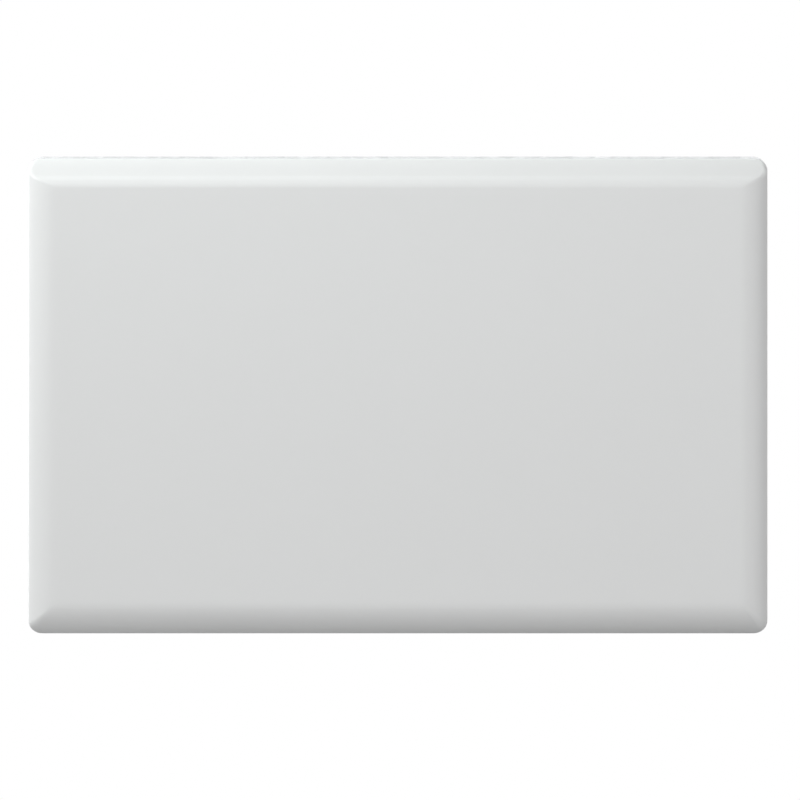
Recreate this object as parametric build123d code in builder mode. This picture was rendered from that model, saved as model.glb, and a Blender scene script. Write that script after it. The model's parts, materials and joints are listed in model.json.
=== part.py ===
"""A wall-mounted electric panel heater, with everything it holds and the bracket it hangs on.

Millimetres. X runs along the width, Y from the room to the wall, Z up. The wall is the plane y = 0,
and the origin is the middle of the bracket's four screw slots on that plane. The front faces -Y.
"""

import os
from math import cos, radians, sin, sqrt, tan

from build123d import *

os.makedirs("parts", exist_ok=True)

# Driving dimensions of the casing
casing_width = 620.0
casing_height = 400.0
casing_depth = 55.0
wall_gap = 30.0
cover_sheet = 1.0
back_sheet = 0.8
back_upstand = 1.6
fit_gap = 0.3
running_gap = 0.05

# The cover's rolled edges, as the front view shows them
crown_height = 25.2
crown_angle = 48.0
crease_radius = 10.0
brow_radius = 8.0
side_roll_width = 22.0
foot_roll_height = 25.2
roll_angle = 55.0
hem_radius = 4.0
corner_radius = 12.0
lip_width = 14.0
cover_screw_columns = 4
cover_screw_rows = 3
cover_screw_margin = 30.0

# Air slots in the cover and the back plate, and the back plate's pressed beads
slot_pitch = 9.0
slot_width = 5.0
outlet_slot_length = 19.0
inlet_slot_length = 25.0
vent_length = 44.0
vent_width = 4.0
vent_pitch_x = 56.0
vent_pitch_z = 11.0
vent_rows = 3
vent_columns = 5
vent_lift = 42.0
bead_half_width = 6.0
bead_length = 280.0
bead_rise = 2.0
bead_taper = 45.0
bead_pitch = 50.0
bead_count = 4
bead_top_drop = 50.0

# Control bay, in the right end of the cover's top
bay_length = 66.0
bay_depth = 20.0
bay_end_margin = 15.0
tray_wall = 1.5
tray_floor = 2.0
tray_recess = 4.0
skirt_depth = 3.0
skirt_thickness = 1.2
housing_wall = 1.8
housing_height = 84.0
control_lid_thickness = 1.6
boss_radius = 3.0
boss_inset = 2.4
board_thickness = 1.6
board_stand_off = 1.5
board_margin = 4.0
board_side_gap = 0.5
component_chamfer = 0.5
post_radius = 2.5
loom_hole_length = 26.0
loom_hole_width = 10.0

# Thermostat wheel, its shaft and its potentiometer
wheel_radius = 16.0
wheel_thickness = 7.0
wheel_rise = 4.0
wheel_gap = 0.75
wheel_teeth = 48
tooth_radius = 0.5
wheel_inset = 17.0
wheel_rim = 3.5
wheel_web = 3.0
hub_radius = 6.0
dial_shaft_radius = 3.0
shaft_flat = 1.0
shaft_tail = 1.0
dial_body_side = 15.0
dial_body_gap = 0.5

# Rocker switch and its indicator
rocker_radius = 8.2
rocker_width = 10.8
rocker_tilt = 7.0
rocker_gap = 0.3
rocker_sink = 0.2
pivot_drop = 2.6
trunnion_radius = 1.2
trunnion_length = 0.8
switch_inset = 16.0
bezel_length = 21.0
bezel_width = 16.0
bezel_height = 2.0
switch_length = 19.0
switch_width = 14.0
switch_depth = 17.0
spade_width = 4.8
spade_thickness = 0.8
spade_length = 8.0
spade_pitch = 7.0
lens_radius = 1.5
lens_length = 8.0
lens_rise = 0.6
lens_flange_radius = 2.4
lens_flange = 1.0
lens_inset = 34.8

# Parts on the control board
relay_size = (16.0, 15.5, 20.0)
module_size = (25.0, 14.0, 32.0)
capacitor_radius = 4.0
capacitor_length = 12.0
strip_size = (36.0, 10.0, 8.0)
part_row_z = 20.0
part_spread = 12.5

# Heating element
element_left_margin = 35.0
element_right_margin = 125.0
element_lift = 72.0
element_boss_radius = 7.0
arm_length = 20.0
arm_thickness = 1.8
arm_count = 4
rib_length = 10.0
rib_thickness = 1.2
rib_places = (12.0, 16.0, 20.0)
rod_radius = 4.2
rod_reach = 16.0
insulator_radius = 3.2
insulator_length = 4.0
stud_radius = 1.5
stud_length = 9.0
tab_sheet = 0.8
tab_width = 6.3
tab_length = 16.0
nut_sides = 6
nut_flat = 5.5
nut_height = 2.4

# Brackets, bushes and shield round the element
bracket_sheet = 1.2
bracket_gap = 5.0
bracket_foot = 15.0
bracket_lift = 32.0
bracket_height = 192.0
bracket_screw_margin = 14.0
bush_radius = 8.0
bush_flange_radius = 10.5
bush_flange = 1.8
window_radius = 9.0
window_rises = (50.0, 80.0, 110.0)
shield_sheet = 0.6
shield_rise = 16.0
shield_front_gap = 4.0
shield_fold = 8.0
rivet_radius = 1.6
rivet_head_radius = 3.0
rivet_head = 1.0
shield_rivet_margin = 18.0

# Overheating cut-outs, above the element
cutout_radius = 8.0
cutout_depth = 10.0
cutout_plate_length = 36.0
cutout_plate_height = 14.0
cutout_plate_sheet = 0.8
cutout_rise = 64.0
cutout_spacing = 170.0
cutout_rivet_spacing = 26.0
cutout_tab_reach = 15.0

# Wall bracket
rail_inset = 130.0
rail_width = 32.0
rail_depth = 16.0
rail_sheet = 1.5
rail_over_pin = 7.0
rail_lift = 50.0
flange_lift = 10.0
slot_margin = 30.0
screw_slot_length = 11.0
screw_slot_width = 5.5
crossbar_height = 26.0
crossbar_z = 62.0
crossbar_tab = 12.0
crossbar_rivet_spacing = 14.0

# Hangers: pins on the heater that sit in the rails' open hooks
pin_radius = 3.0
pin_drop = 35.0
pin_from_wall = 20.0
pin_head_radius = 4.6
pin_head = 1.5
hook_radius = 7.5
hanger_sheet = 1.5
hanger_height = 26.0
hanger_wing = 14.0
hanger_gap = 0.8
ear_radius = 6.5

# Locks at the bottom of the rails, and the keepers they catch
shelf_depth = 15.0
shelf_width = 26.0
lock_from_wall = 8.0
lock_pin_radius = 2.0
lock_head_radius = 3.6
lock_head = 1.4
lock_plate = 3.0
lock_knob_height = 12.0
lock_knob_radius = 6.5
lock_flutes = 10
lock_flute_radius = 0.9
lock_recess = 3.0
lock_reach = 17.5
lock_arm_width = 7.0
lock_nose_radius = 3.0
lock_nose_drop = 10.5
keeper_sheet = 1.5
keeper_width = 10.0
keeper_reach = 11.0
keeper_drop = 12.5
keeper_lip = 9.0
keeper_foot = 24.0
keeper_screw_pitch = 11.0

# Rubber buffers between the back plate and the rails
buffer_width = 38.0
buffer_height = 16.0
buffer_lift = 82.0
buffer_corner = 3.0
peg_radius = 3.0
peg_head_radius = 4.3
peg_head = 1.8

# Connection box on the back plate, with the cord's entry
box_width = 62.0
box_height = 74.0
box_depth = 21.0
box_wall = 2.0
box_lid_thickness = 1.6
box_end_margin = 18.0
box_bottom_margin = 22.0
box_corner = 3.0
cord_bore_radius = 3.7
gland_thread_radius = 6.0
gland_collar_radius = 8.0
gland_collar = 2.0
gland_nose_radius = 7.0
gland_nose = 7.0
gland_thread = 5.5
gland_nut_flat = 15.5
gland_nut_height = 3.0
block_width = 32.0
block_height = 14.0
block_depth = 11.0
block_lift = 28.0
pole_pitch = 10.0
clamp_width = 26.0
clamp_height = 7.0
clamp_wall = 2.0
clamp_lug = 3.0
clamp_lift = 13.0
clamp_play = 0.5
clamp_screw_spacing = 17.0
grommet_drop = 13.0
grommet_radius = 7.0
grommet_flange_radius = 9.0
grommet_flange = 1.2
grommet_bore_radius = 4.6
earth_offset = 19.0
earth_drop = 13.0
earth_radius = 2.0
earth_length = 8.0
earth_washer_radius = 4.5
earth_washer = 1.0
earth_nut_flat = 7.0
earth_nut = 3.2

# Room sensor, low at the right end where the room's air comes in
sensor_margin = 55.0
sensor_lift = 24.0
sensor_radius = 2.6
sensor_length = 16.0
sensor_stand_off = 12.0
clip_sheet = 0.8
clip_width = 8.0

# Leads inside the heater
lead_radius = 1.2
lead_ease = 0.45
lead_entry_gap = 4.5
lead_entry_shift = 1.0
lead_drop = 17.4

# Screws
screw_radius = 1.95
screw_head_radius = 3.9
screw_head = 2.3
screw_length = 8.0
small_screw_radius = 1.45
small_head_radius = 2.7
small_head = 1.8
small_screw_length = 6.0
short_screw_length = 4.6
recess_share = 0.55
recess_width = 0.9

# Planes and edges that several parts share
half_width = casing_width / 2
half_height = casing_height / 2
face_y = -(wall_gap + casing_depth)
back_rear = -wall_gap
back_front = back_rear - back_sheet
lip_front = back_front - cover_sheet
cover_top = half_height - back_upstand
cover_bottom = -half_height
cover_middle_z = (cover_top + cover_bottom) / 2
roof_under = cover_top - cover_sheet
crease_rise = crease_radius * sin(radians(crown_angle))
brow_rise = brow_radius * (1 - sin(radians(crown_angle)))
crown_rise = crown_height - crease_rise - brow_rise
crown_length = crown_rise / cos(radians(crown_angle))
crease_run = crease_radius * (1 - cos(radians(crown_angle)))
brow_run = brow_radius * cos(radians(crown_angle))
brow_y = face_y + crease_run + crown_length * sin(radians(crown_angle)) + brow_run
roll_hem = hem_radius * (1 - sin(radians(roll_angle)))
side_radius = (side_roll_width - roll_hem) / sin(radians(roll_angle))
foot_radius = (foot_roll_height - roll_hem) / sin(radians(roll_angle))
foot_run = foot_radius * (1 - cos(radians(roll_angle))) + hem_radius * cos(radians(roll_angle))
inlet_y = (face_y + foot_run + lip_front) / 2

bay_x = half_width - bay_end_margin - bay_length / 2
bay_y = (brow_y + lip_front) / 2
outlet_start = -half_width + corner_radius + lip_width
outlet_end = bay_x - bay_length / 2 - slot_pitch
outlet_count = int((outlet_end - outlet_start) // slot_pitch)
inlet_count = int((casing_width - 2 * (corner_radius + lip_width)) // slot_pitch)

rail_x_left = -half_width + rail_inset
rail_x_right = half_width - rail_inset
rail_places = (rail_x_left, rail_x_right)
sides = {"left": -1, "right": 1}
pin_y = -pin_from_wall
pin_z = half_height - pin_drop
rail_top_z = pin_z + rail_over_pin
rail_bottom_z = cover_bottom + rail_lift
slot_z = -(rail_bottom_z + slot_margin)
bead_centre_z = half_height - bead_top_drop - bead_pitch * (bead_count - 1) / 2
vent_centre_z = cover_bottom + vent_lift


def block(x_pair, y_pair, z_pair, mode=Mode.ADD):
    """A box between two corners, given as one pair of values for each axis."""
    pairs = (x_pair, y_pair, z_pair)
    with Locations(tuple(sum(pair) / 2 for pair in pairs)):
        Box(*(abs(pair[1] - pair[0]) for pair in pairs), mode=mode)


def bar(start, direction, radius, length, mode=Mode.ADD):
    """A round bar from a point along a direction."""
    with Locations(Plane(origin=start, z_dir=direction)):
        Cylinder(radius, length, align=(Align.CENTER, Align.CENTER, Align.MIN), mode=mode)


def bars(starts, direction, radius, length, mode=Mode.ADD):
    """Round bars, or with Mode.SUBTRACT holes, alike in all but their starting points."""
    for start in starts:
        bar(start, direction, radius, length, mode)


def room_plane(y):
    """The vertical plane at depth y, drawn from the room side."""
    return Plane.XZ.offset(-y)


def pan_screw(radius, head_radius, head_height, length):
    """A pan-head screw with a cross recess; its shank points along +Z and its head seats at z = 0."""
    with BuildPart() as screw:
        Cylinder(radius, length, align=(Align.CENTER, Align.CENTER, Align.MIN))
        Cylinder(head_radius, head_height, align=(Align.CENTER, Align.CENTER, Align.MAX))
        fillet(screw.edges().group_by(Axis.Z)[0], head_height / 2)
        with BuildSketch(Plane.XY.offset(-head_height)):
            Rectangle(2 * head_radius * recess_share, recess_width)
            Rectangle(recess_width, 2 * head_radius * recess_share)
        extrude(amount=head_height * recess_share, mode=Mode.SUBTRACT)
    return screw.part


def rivet(length):
    """A sheet rivet, headed at both ends; the rear head ends where the sheets do, at z = length."""
    with BuildPart() as body:
        Cylinder(rivet_radius, length, align=(Align.CENTER, Align.CENTER, Align.MIN))
        Cylinder(rivet_head_radius, rivet_head, align=(Align.CENTER, Align.CENTER, Align.MAX))
        with Locations((0, 0, length)):
            Cylinder(rivet_head_radius, rivet_head, align=(Align.CENTER, Align.CENTER, Align.MIN))
        fillet(body.edges().group_by(Axis.Z)[0], rivet_head / 2)
        fillet(body.edges().group_by(Axis.Z)[-1], rivet_head / 2)
    return body.part


def aimed(points, direction):
    """Planes at the points whose normals are the direction, to place screws and rivets by."""
    return [Plane(origin=point, z_dir=direction) for point in points]


screw = pan_screw(screw_radius, screw_head_radius, screw_head, screw_length)
small_screw = pan_screw(small_screw_radius, small_head_radius, small_head, small_screw_length)
short_screw = pan_screw(small_screw_radius, small_head_radius, small_head, short_screw_length)

to_room = (0, -1, 0)
to_wall = (0, 1, 0)

# Where the cover's lips are screwed to the back plate
lip_inset = (cover_sheet + lip_width) / 2
column_step = (casing_width - 2 * cover_screw_margin) / cover_screw_columns
row_step = casing_height / (cover_screw_rows + 1)
screw_columns = [
    (column - (cover_screw_columns - 1) / 2) * column_step for column in range(cover_screw_columns)
]
screw_rows = [(row - (cover_screw_rows - 1) / 2) * row_step for row in range(cover_screw_rows)]
cover_screw_places = (
    [(x, cover_top - lip_inset) for x in screw_columns]
    + [(x, cover_bottom + lip_inset) for x in screw_columns]
    + [(side * (half_width - lip_inset), z) for side in sides.values() for z in screw_rows]
)

# Element brackets and their screws
element_y = (face_y + back_front) / 2
shield_front = face_y + cover_sheet + shield_front_gap
shield_rear = shield_front + shield_sheet
bracket_faces = {"left": -half_width + element_left_margin, "right": half_width - element_right_margin}
element_centre_x = sum(bracket_faces.values()) / 2
element_centre_z = cover_bottom + element_lift
element_length = bracket_faces["right"] - bracket_faces["left"] - 2 * bracket_gap
bracket_bottom_z = cover_bottom + bracket_lift
bracket_top_z = bracket_bottom_z + bracket_height
window_places = [element_centre_z + rise for rise in window_rises]
shield_top_z = bracket_top_z + shield_rise
shield_rivet_places = (
    bracket_bottom_z + shield_rivet_margin,
    (bracket_bottom_z + bracket_top_z) / 2,
    bracket_top_z - shield_rivet_margin,
)
bracket_flange_centres = {
    name: bracket_faces[name] + side * (bracket_sheet + bracket_foot) / 2 for name, side in sides.items()
}
bracket_screw_heights = (bracket_bottom_z + bracket_screw_margin, bracket_top_z - bracket_screw_margin)
bracket_screw_places = [(x, z) for x in bracket_flange_centres.values() for z in bracket_screw_heights]

# Overheating cut-outs and their rivets
cutout_z = element_centre_z + cutout_rise
cutout_places = [element_centre_x + side * cutout_spacing / 2 for side in sides.values()]
cutout_rivet_places = [
    (x + side * cutout_rivet_spacing / 2, cutout_z) for x in cutout_places for side in sides.values()
]

# Hangers, keepers and buffers on the back plate's rear
ear_inner = rail_width / 2 + hanger_gap
ear_outer = ear_inner + hanger_sheet
hanger_screw_places = [
    (x + side * (ear_outer + hanger_wing / 2), pin_z) for x in rail_places for side in sides.values()
]
keeper_web_z = rail_bottom_z - keeper_drop
keeper_screw_top = keeper_web_z - keeper_foot / 2 + keeper_screw_pitch / 2
keeper_screw_places = [
    (x, keeper_screw_top - row * keeper_screw_pitch) for x in rail_places for row in (0, 1)
]
peg_places = [(x, cover_bottom + buffer_lift) for x in rail_places]

# Connection box on the back plate's rear
box_right = half_width - box_end_margin
box_left = box_right - box_width
box_x = (box_left + box_right) / 2
box_bottom = cover_bottom + box_bottom_margin
box_top = box_bottom + box_height
box_rear = back_rear + box_depth
box_mouth = box_rear - box_lid_thickness
box_floor = back_rear + box_wall
gland_y = (box_floor + box_mouth) / 2
grommet_z = box_top - grommet_drop
earth_x = box_x + earth_offset
earth_z = box_top - earth_drop
box_boss_x = box_width / 2 - box_wall - boss_inset
box_boss_z = box_height / 2 - box_wall - boss_inset
box_middle_z = (box_bottom + box_top) / 2
box_corners = [
    (box_x + side * box_boss_x, box_middle_z + rise * box_boss_z)
    for side in sides.values()
    for rise in sides.values()
]
box_screw_x = box_width / 2 - box_wall - screw_head_radius - fit_gap
box_screw_places = [(box_x + side * box_screw_x, box_middle_z) for side in sides.values()]

# Control housing on the back plate's front
control_left = bay_x - bay_length / 2 - tray_wall
control_right = bay_x + bay_length / 2 + tray_wall
control_front = bay_y - bay_depth / 2 - tray_wall
control_rear = lip_front - fit_gap
tray_top = roof_under
tray_floor_z = tray_top - tray_recess
housing_top = tray_floor_z - tray_floor
housing_bottom = housing_top - housing_height
housing_in_left = control_left + housing_wall
housing_in_right = control_right - housing_wall
housing_in_rear = control_rear - housing_wall
housing_in_bottom = housing_bottom + housing_wall
board_rear = housing_in_rear - board_stand_off
board_front = board_rear - board_thickness
board_left = housing_in_left + boss_inset + boss_radius + board_side_gap
board_right = housing_in_right - boss_inset - boss_radius - board_side_gap
board_x = (board_left + board_right) / 2
board_bottom = housing_in_bottom + board_margin
board_top = housing_top - skirt_depth
lid_left_x = housing_in_left + boss_inset
lid_right_x = housing_in_right - boss_inset
wheel_x = bay_x - bay_length / 2 + wheel_inset
wheel_z = tray_floor_z + wheel_rise - wheel_radius
wheel_rear = bay_y + wheel_thickness / 2
lid_screw_places = [
    (lid_left_x, housing_in_bottom + boss_inset),
    (lid_right_x, housing_in_bottom + boss_inset),
    (lid_left_x, wheel_z - wheel_radius - boss_radius - wheel_gap),
    (lid_right_x, housing_top - skirt_depth - boss_radius - fit_gap),
]
board_screw_places = [
    (x, z)
    for x in (board_left + post_radius, board_right - post_radius)
    for z in (board_bottom + post_radius, wheel_z - dial_body_side / 2 - 2 * post_radius)
]
housing_screw_places = [(board_x, board_bottom + post_radius), (board_x, wheel_z - wheel_radius)]

# Front cover: one pressed sheet with rolled edges, a lip round its open back, and air slots


def cover_form(inset):
    """The cover's filled shape, drawn in by inset: a side view, a plan and a front view, crossed."""
    with BuildPart() as form:
        with BuildSketch(Plane.YZ):
            with BuildLine():
                roof = Line((back_front, cover_top), (brow_y, cover_top))
                brow = JernArc(roof @ 1, roof % 1, brow_radius, 90 - crown_angle)
                crown = PolarLine(brow @ 1, crown_length, direction=brow % 1)
                crease = JernArc(crown @ 1, crown % 1, crease_radius, crown_angle)
                panel = Line(crease @ 1, (face_y, cover_bottom + foot_roll_height))
                foot = JernArc(panel @ 1, panel % 1, foot_radius, roll_angle)
                hem = JernArc(foot @ 1, foot % 1, hem_radius, 90 - roll_angle)
                floor = Line(hem @ 1, (back_front, cover_bottom))
                Line(floor @ 1, roof @ 0)
            make_face()
            offset(amount=-inset, mode=Mode.REPLACE)
        extrude(amount=half_width, both=True)
        with BuildSketch(Plane.XY):
            with BuildLine():
                panel = Line((0, face_y), (half_width - side_roll_width, face_y))
                side = JernArc(panel @ 1, panel % 1, side_radius, roll_angle)
                hem = JernArc(side @ 1, side % 1, hem_radius, 90 - roll_angle)
                wall = Line(hem @ 1, (half_width, back_front))
                Line(wall @ 1, (0, back_front))
                mirror(about=Plane.YZ)
            make_face()
            offset(amount=-inset, mode=Mode.REPLACE)
        extrude(amount=half_height, both=True, mode=Mode.INTERSECT)
        with BuildSketch(room_plane(0)):
            with Locations((0, cover_middle_z)):
                RectangleRounded(
                    casing_width - 2 * inset,
                    cover_top - cover_bottom - 2 * inset,
                    corner_radius - inset,
                )
        extrude(amount=-face_y, mode=Mode.INTERSECT)
    return form.part


cover_outside = cover_form(0)
cover_inside = cover_form(cover_sheet)

with BuildPart() as front_cover:
    add(cover_outside)
    add(cover_inside, mode=Mode.SUBTRACT)
    with BuildSketch(room_plane(back_front)):
        with Locations((0, cover_middle_z)):
            RectangleRounded(
                casing_width - 2 * (cover_sheet + lip_width),
                cover_top - cover_bottom - 2 * (cover_sheet + lip_width),
                corner_radius / 2,
            )
        with Locations(*cover_screw_places):
            Circle(screw_radius)
    extrude(amount=2 * cover_sheet, mode=Mode.SUBTRACT)
    with BuildSketch(Plane.XY.offset(cover_top)):
        with Locations(((outlet_start + outlet_end) / 2, bay_y)):
            with GridLocations(slot_pitch, 0, outlet_count, 1):
                SlotOverall(outlet_slot_length, slot_width, rotation=90)
        with Locations((bay_x, bay_y)):
            RectangleRounded(bay_length, bay_depth, tray_wall)
    extrude(amount=-2 * cover_sheet, mode=Mode.SUBTRACT)
    with BuildSketch(Plane.XY.offset(cover_bottom)):
        with Locations((0, inlet_y)):
            with GridLocations(slot_pitch, 0, inlet_count, 1):
                SlotOverall(inlet_slot_length, slot_width, rotation=90)
    extrude(amount=2 * cover_sheet, mode=Mode.SUBTRACT)

front_cover.part.label = "front_cover"
export_step(front_cover.part, "parts/front_cover.step")

# Back plate: flat sheet with pressed beads, vents and the holes of all that is fixed to it
with BuildPart() as back_plate:
    with BuildSketch(room_plane(back_rear)):
        with Locations((0, (half_height + cover_bottom + cover_sheet) / 2)):
            RectangleRounded(
                casing_width - 2 * cover_sheet,
                half_height - cover_bottom - cover_sheet,
                corner_radius - cover_sheet,
            )
    extrude(amount=back_sheet)
    with BuildSketch(room_plane(back_rear)):
        with Locations((0, bead_centre_z)):
            with GridLocations(0, bead_pitch, 1, bead_count):
                SlotOverall(bead_length, 2 * (bead_half_width + back_sheet))
    extrude(amount=bead_rise + back_sheet, taper=bead_taper)
    with BuildSketch(room_plane(back_rear)):
        with Locations((0, bead_centre_z)):
            with GridLocations(0, bead_pitch, 1, bead_count):
                SlotOverall(bead_length - 2 * back_sheet, 2 * bead_half_width)
    extrude(amount=bead_rise, taper=bead_taper, mode=Mode.SUBTRACT)
    with BuildSketch(room_plane(back_rear)):
        with Locations((0, vent_centre_z)):
            with GridLocations(vent_pitch_x, vent_pitch_z, vent_columns, vent_rows):
                SlotOverall(vent_length, vent_width)
        with Locations(*cover_screw_places, *bracket_screw_places):
            Circle(screw_radius + fit_gap)
        with Locations(*housing_screw_places):
            Circle(small_screw_radius + fit_gap)
        with Locations(*hanger_screw_places, *keeper_screw_places, *box_screw_places):
            Circle(screw_radius)
        with Locations(*cutout_rivet_places):
            Circle(rivet_radius)
        with Locations(*peg_places):
            Circle(peg_radius)
        with Locations((box_x, grommet_z)):
            Circle(grommet_radius)
        with Locations((earth_x, earth_z)):
            Circle(earth_radius)
    extrude(amount=back_sheet, mode=Mode.SUBTRACT)

back_plate.part.label = "back_plate"
export_step(back_plate.part, "parts/back_plate.step")

with BuildPart() as cover_screws:
    with Locations(*aimed([(x, back_rear, z) for x, z in cover_screw_places], to_room)):
        add(screw)

cover_screws.part.label = "cover_screws"
export_step(cover_screws.part, "parts/cover_screws.step")

# Heating element: an extruded body of four ribbed arms, pressed on its rod
with BuildPart() as element_fins:
    with BuildSketch(Plane.YZ.offset(element_centre_x)):
        with Locations((element_y, element_centre_z)):
            Circle(element_boss_radius)
            with PolarLocations(0, arm_count, start_angle=180 / arm_count):
                with Locations((arm_length / 2, 0)):
                    Rectangle(arm_length, arm_thickness)
                for place in rib_places:
                    with Locations((place - rib_thickness / 2, 0)):
                        Rectangle(rib_thickness, rib_length)
            Circle(rod_radius, mode=Mode.SUBTRACT)
    extrude(amount=element_length / 2, both=True)

element_fins.part.label = "element_fins"
export_step(element_fins.part, "parts/element_fins.step")

rod_half = element_length / 2 + rod_reach
with BuildPart() as element_rod:
    with BuildSketch(Plane.YZ.offset(element_centre_x)):
        with Locations((element_y, element_centre_z)):
            Circle(rod_radius)
    extrude(amount=rod_half, both=True)

element_rod.part.label = "element_rod"
export_step(element_rod.part, "parts/element_rod.step")

rod_ends = {name: element_centre_x + side * rod_half for name, side in sides.items()}

with BuildPart() as element_insulators:
    for name, side in sides.items():
        bar((rod_ends[name], element_y, element_centre_z), (side, 0, 0), insulator_radius, insulator_length)

element_insulators.part.label = "element_insulators"
export_step(element_insulators.part, "parts/element_insulators.step")

stud_roots = {name: rod_ends[name] + side * insulator_length for name, side in sides.items()}

with BuildPart() as element_studs:
    for name, side in sides.items():
        bar((stud_roots[name], element_y, element_centre_z), (side, 0, 0), stud_radius, stud_length)

element_studs.part.label = "element_studs"
export_step(element_studs.part, "parts/element_studs.step")

with BuildPart() as element_tabs:
    for name, side in sides.items():
        tab_root = (stud_roots[name], element_y, element_centre_z)
        with BuildSketch(Plane(origin=tab_root, x_dir=(0, 1, 0), z_dir=(side, 0, 0))):
            Circle(tab_width / 2)
            with Locations((0, side * tab_length / 2)):
                Rectangle(tab_width, tab_length)
            Circle(stud_radius, mode=Mode.SUBTRACT)
        extrude(amount=tab_sheet)

element_tabs.part.label = "element_tabs"
export_step(element_tabs.part, "parts/element_tabs.step")

with BuildPart() as element_nuts:
    for name, side in sides.items():
        nut_face = stud_roots[name] + side * tab_sheet
        with BuildSketch(Plane(origin=(nut_face, element_y, element_centre_z), z_dir=(side, 0, 0))):
            RegularPolygon(nut_flat / 2, nut_sides, major_radius=False)
            Circle(stud_radius, mode=Mode.SUBTRACT)
        extrude(amount=nut_height)

element_nuts.part.label = "element_nuts"
export_step(element_nuts.part, "parts/element_nuts.step")

# Element brackets: sheet channels that stand on the back plate and carry the rod and the shield
for name, side in sides.items():
    inner_face = bracket_faces[name]
    outer_face = inner_face + side * bracket_sheet
    foot_end = outer_face + side * bracket_foot
    flange_x = bracket_flange_centres[name]
    heights = (bracket_bottom_z, bracket_top_z)
    with BuildPart() as element_bracket:
        block((inner_face, outer_face), (shield_rear, back_front), heights)
        block((inner_face, foot_end), (back_front - bracket_sheet, back_front), heights)
        block((inner_face, foot_end), (shield_rear, shield_rear + bracket_sheet), heights)
        bush_hole = (inner_face, element_y, element_centre_z)
        bar(bush_hole, (side, 0, 0), bush_radius, bracket_sheet, Mode.SUBTRACT)
        windows = [(inner_face, element_y, z) for z in window_places]
        bars(windows, (side, 0, 0), window_radius, bracket_sheet, Mode.SUBTRACT)
        feet = [(flange_x, back_front, z) for z in bracket_screw_heights]
        bars(feet, to_room, screw_radius, bracket_sheet, Mode.SUBTRACT)
        rivets = [(flange_x, shield_rear, z) for z in shield_rivet_places]
        bars(rivets, to_wall, rivet_radius, bracket_sheet, Mode.SUBTRACT)
    element_bracket.part.label = f"element_bracket_{name}"
    export_step(element_bracket.part, f"parts/element_bracket_{name}.step")

with BuildPart() as element_bushes:
    for name, side in sides.items():
        inner_face = bracket_faces[name]
        inner_flange = (inner_face - side * bush_flange, element_y, element_centre_z)
        outer_flange = (inner_face + side * bracket_sheet, element_y, element_centre_z)
        bar(inner_flange, (side, 0, 0), bush_flange_radius, bush_flange)
        bar((inner_face, element_y, element_centre_z), (side, 0, 0), bush_radius, bracket_sheet)
        bar(outer_flange, (side, 0, 0), bush_flange_radius, bush_flange)
        bar(inner_flange, (side, 0, 0), rod_radius, 2 * bush_flange + bracket_sheet, Mode.SUBTRACT)

element_bushes.part.label = "element_bushes"
export_step(element_bushes.part, "parts/element_bushes.step")

# Heat shield: a thin bright sheet between the element and the cover, its top and foot folded back
shield_left = bracket_faces["left"] - bracket_sheet - bracket_foot
shield_right = bracket_faces["right"] + bracket_sheet + bracket_foot
fold_step = shield_fold * sqrt(0.5)
with BuildPart() as heat_shield:
    with BuildSketch(Plane.YZ.offset(shield_left)):
        with BuildLine():
            Polyline(
                (shield_front + fold_step, shield_top_z + fold_step),
                (shield_front, shield_top_z),
                (shield_front, bracket_bottom_z),
                (shield_front + fold_step, bracket_bottom_z - fold_step),
                (shield_rear + fold_step, bracket_bottom_z - fold_step),
                (shield_rear, bracket_bottom_z),
                (shield_rear, shield_top_z),
                (shield_rear + fold_step, shield_top_z + fold_step),
                close=True,
            )
        make_face()
    extrude(amount=shield_right - shield_left)
    shield_holes = [
        (x, shield_front, z) for x in bracket_flange_centres.values() for z in shield_rivet_places
    ]
    bars(shield_holes, to_wall, rivet_radius, shield_sheet, Mode.SUBTRACT)

heat_shield.part.label = "heat_shield"
export_step(heat_shield.part, "parts/heat_shield.step")

shield_rivet = rivet(shield_sheet + bracket_sheet)
cutout_rivet = rivet(cutout_plate_sheet + back_sheet)
cutout_plate_front = back_front - cutout_plate_sheet

with BuildPart() as sheet_rivets:
    with Locations(*aimed(shield_holes, to_wall)):
        add(shield_rivet)
    with Locations(*aimed([(x, cutout_plate_front, z) for x, z in cutout_rivet_places], to_wall)):
        add(cutout_rivet)

sheet_rivets.part.label = "sheet_rivets"
export_step(sheet_rivets.part, "parts/sheet_rivets.step")

# Overheating cut-outs: a disc on a riveted plate, with a tab at each side
cutout_front = cutout_plate_front - cutout_depth
tab_z = (cutout_z - tab_width / 2, cutout_z + tab_width / 2)
cutout_tab_y = cutout_front + 2 * tab_sheet
with BuildPart() as overheat_cutouts:
    for x in cutout_places:
        with BuildSketch(room_plane(back_front)):
            with Locations((x, cutout_z)):
                RectangleRounded(cutout_plate_length, cutout_plate_height, cutout_plate_height / 4)
        extrude(amount=cutout_plate_sheet)
        bar((x, cutout_plate_front, cutout_z), to_room, cutout_radius, cutout_depth)
        block(
            (x - cutout_tab_reach, x + cutout_tab_reach),
            (cutout_tab_y, cutout_tab_y + tab_sheet),
            tab_z,
        )
    cutout_holes = [(x, back_front, z) for x, z in cutout_rivet_places]
    bars(cutout_holes, to_room, rivet_radius, cutout_plate_sheet, Mode.SUBTRACT)

overheat_cutouts.part.label = "overheat_cutouts"
export_step(overheat_cutouts.part, "parts/overheat_cutouts.step")

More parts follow.
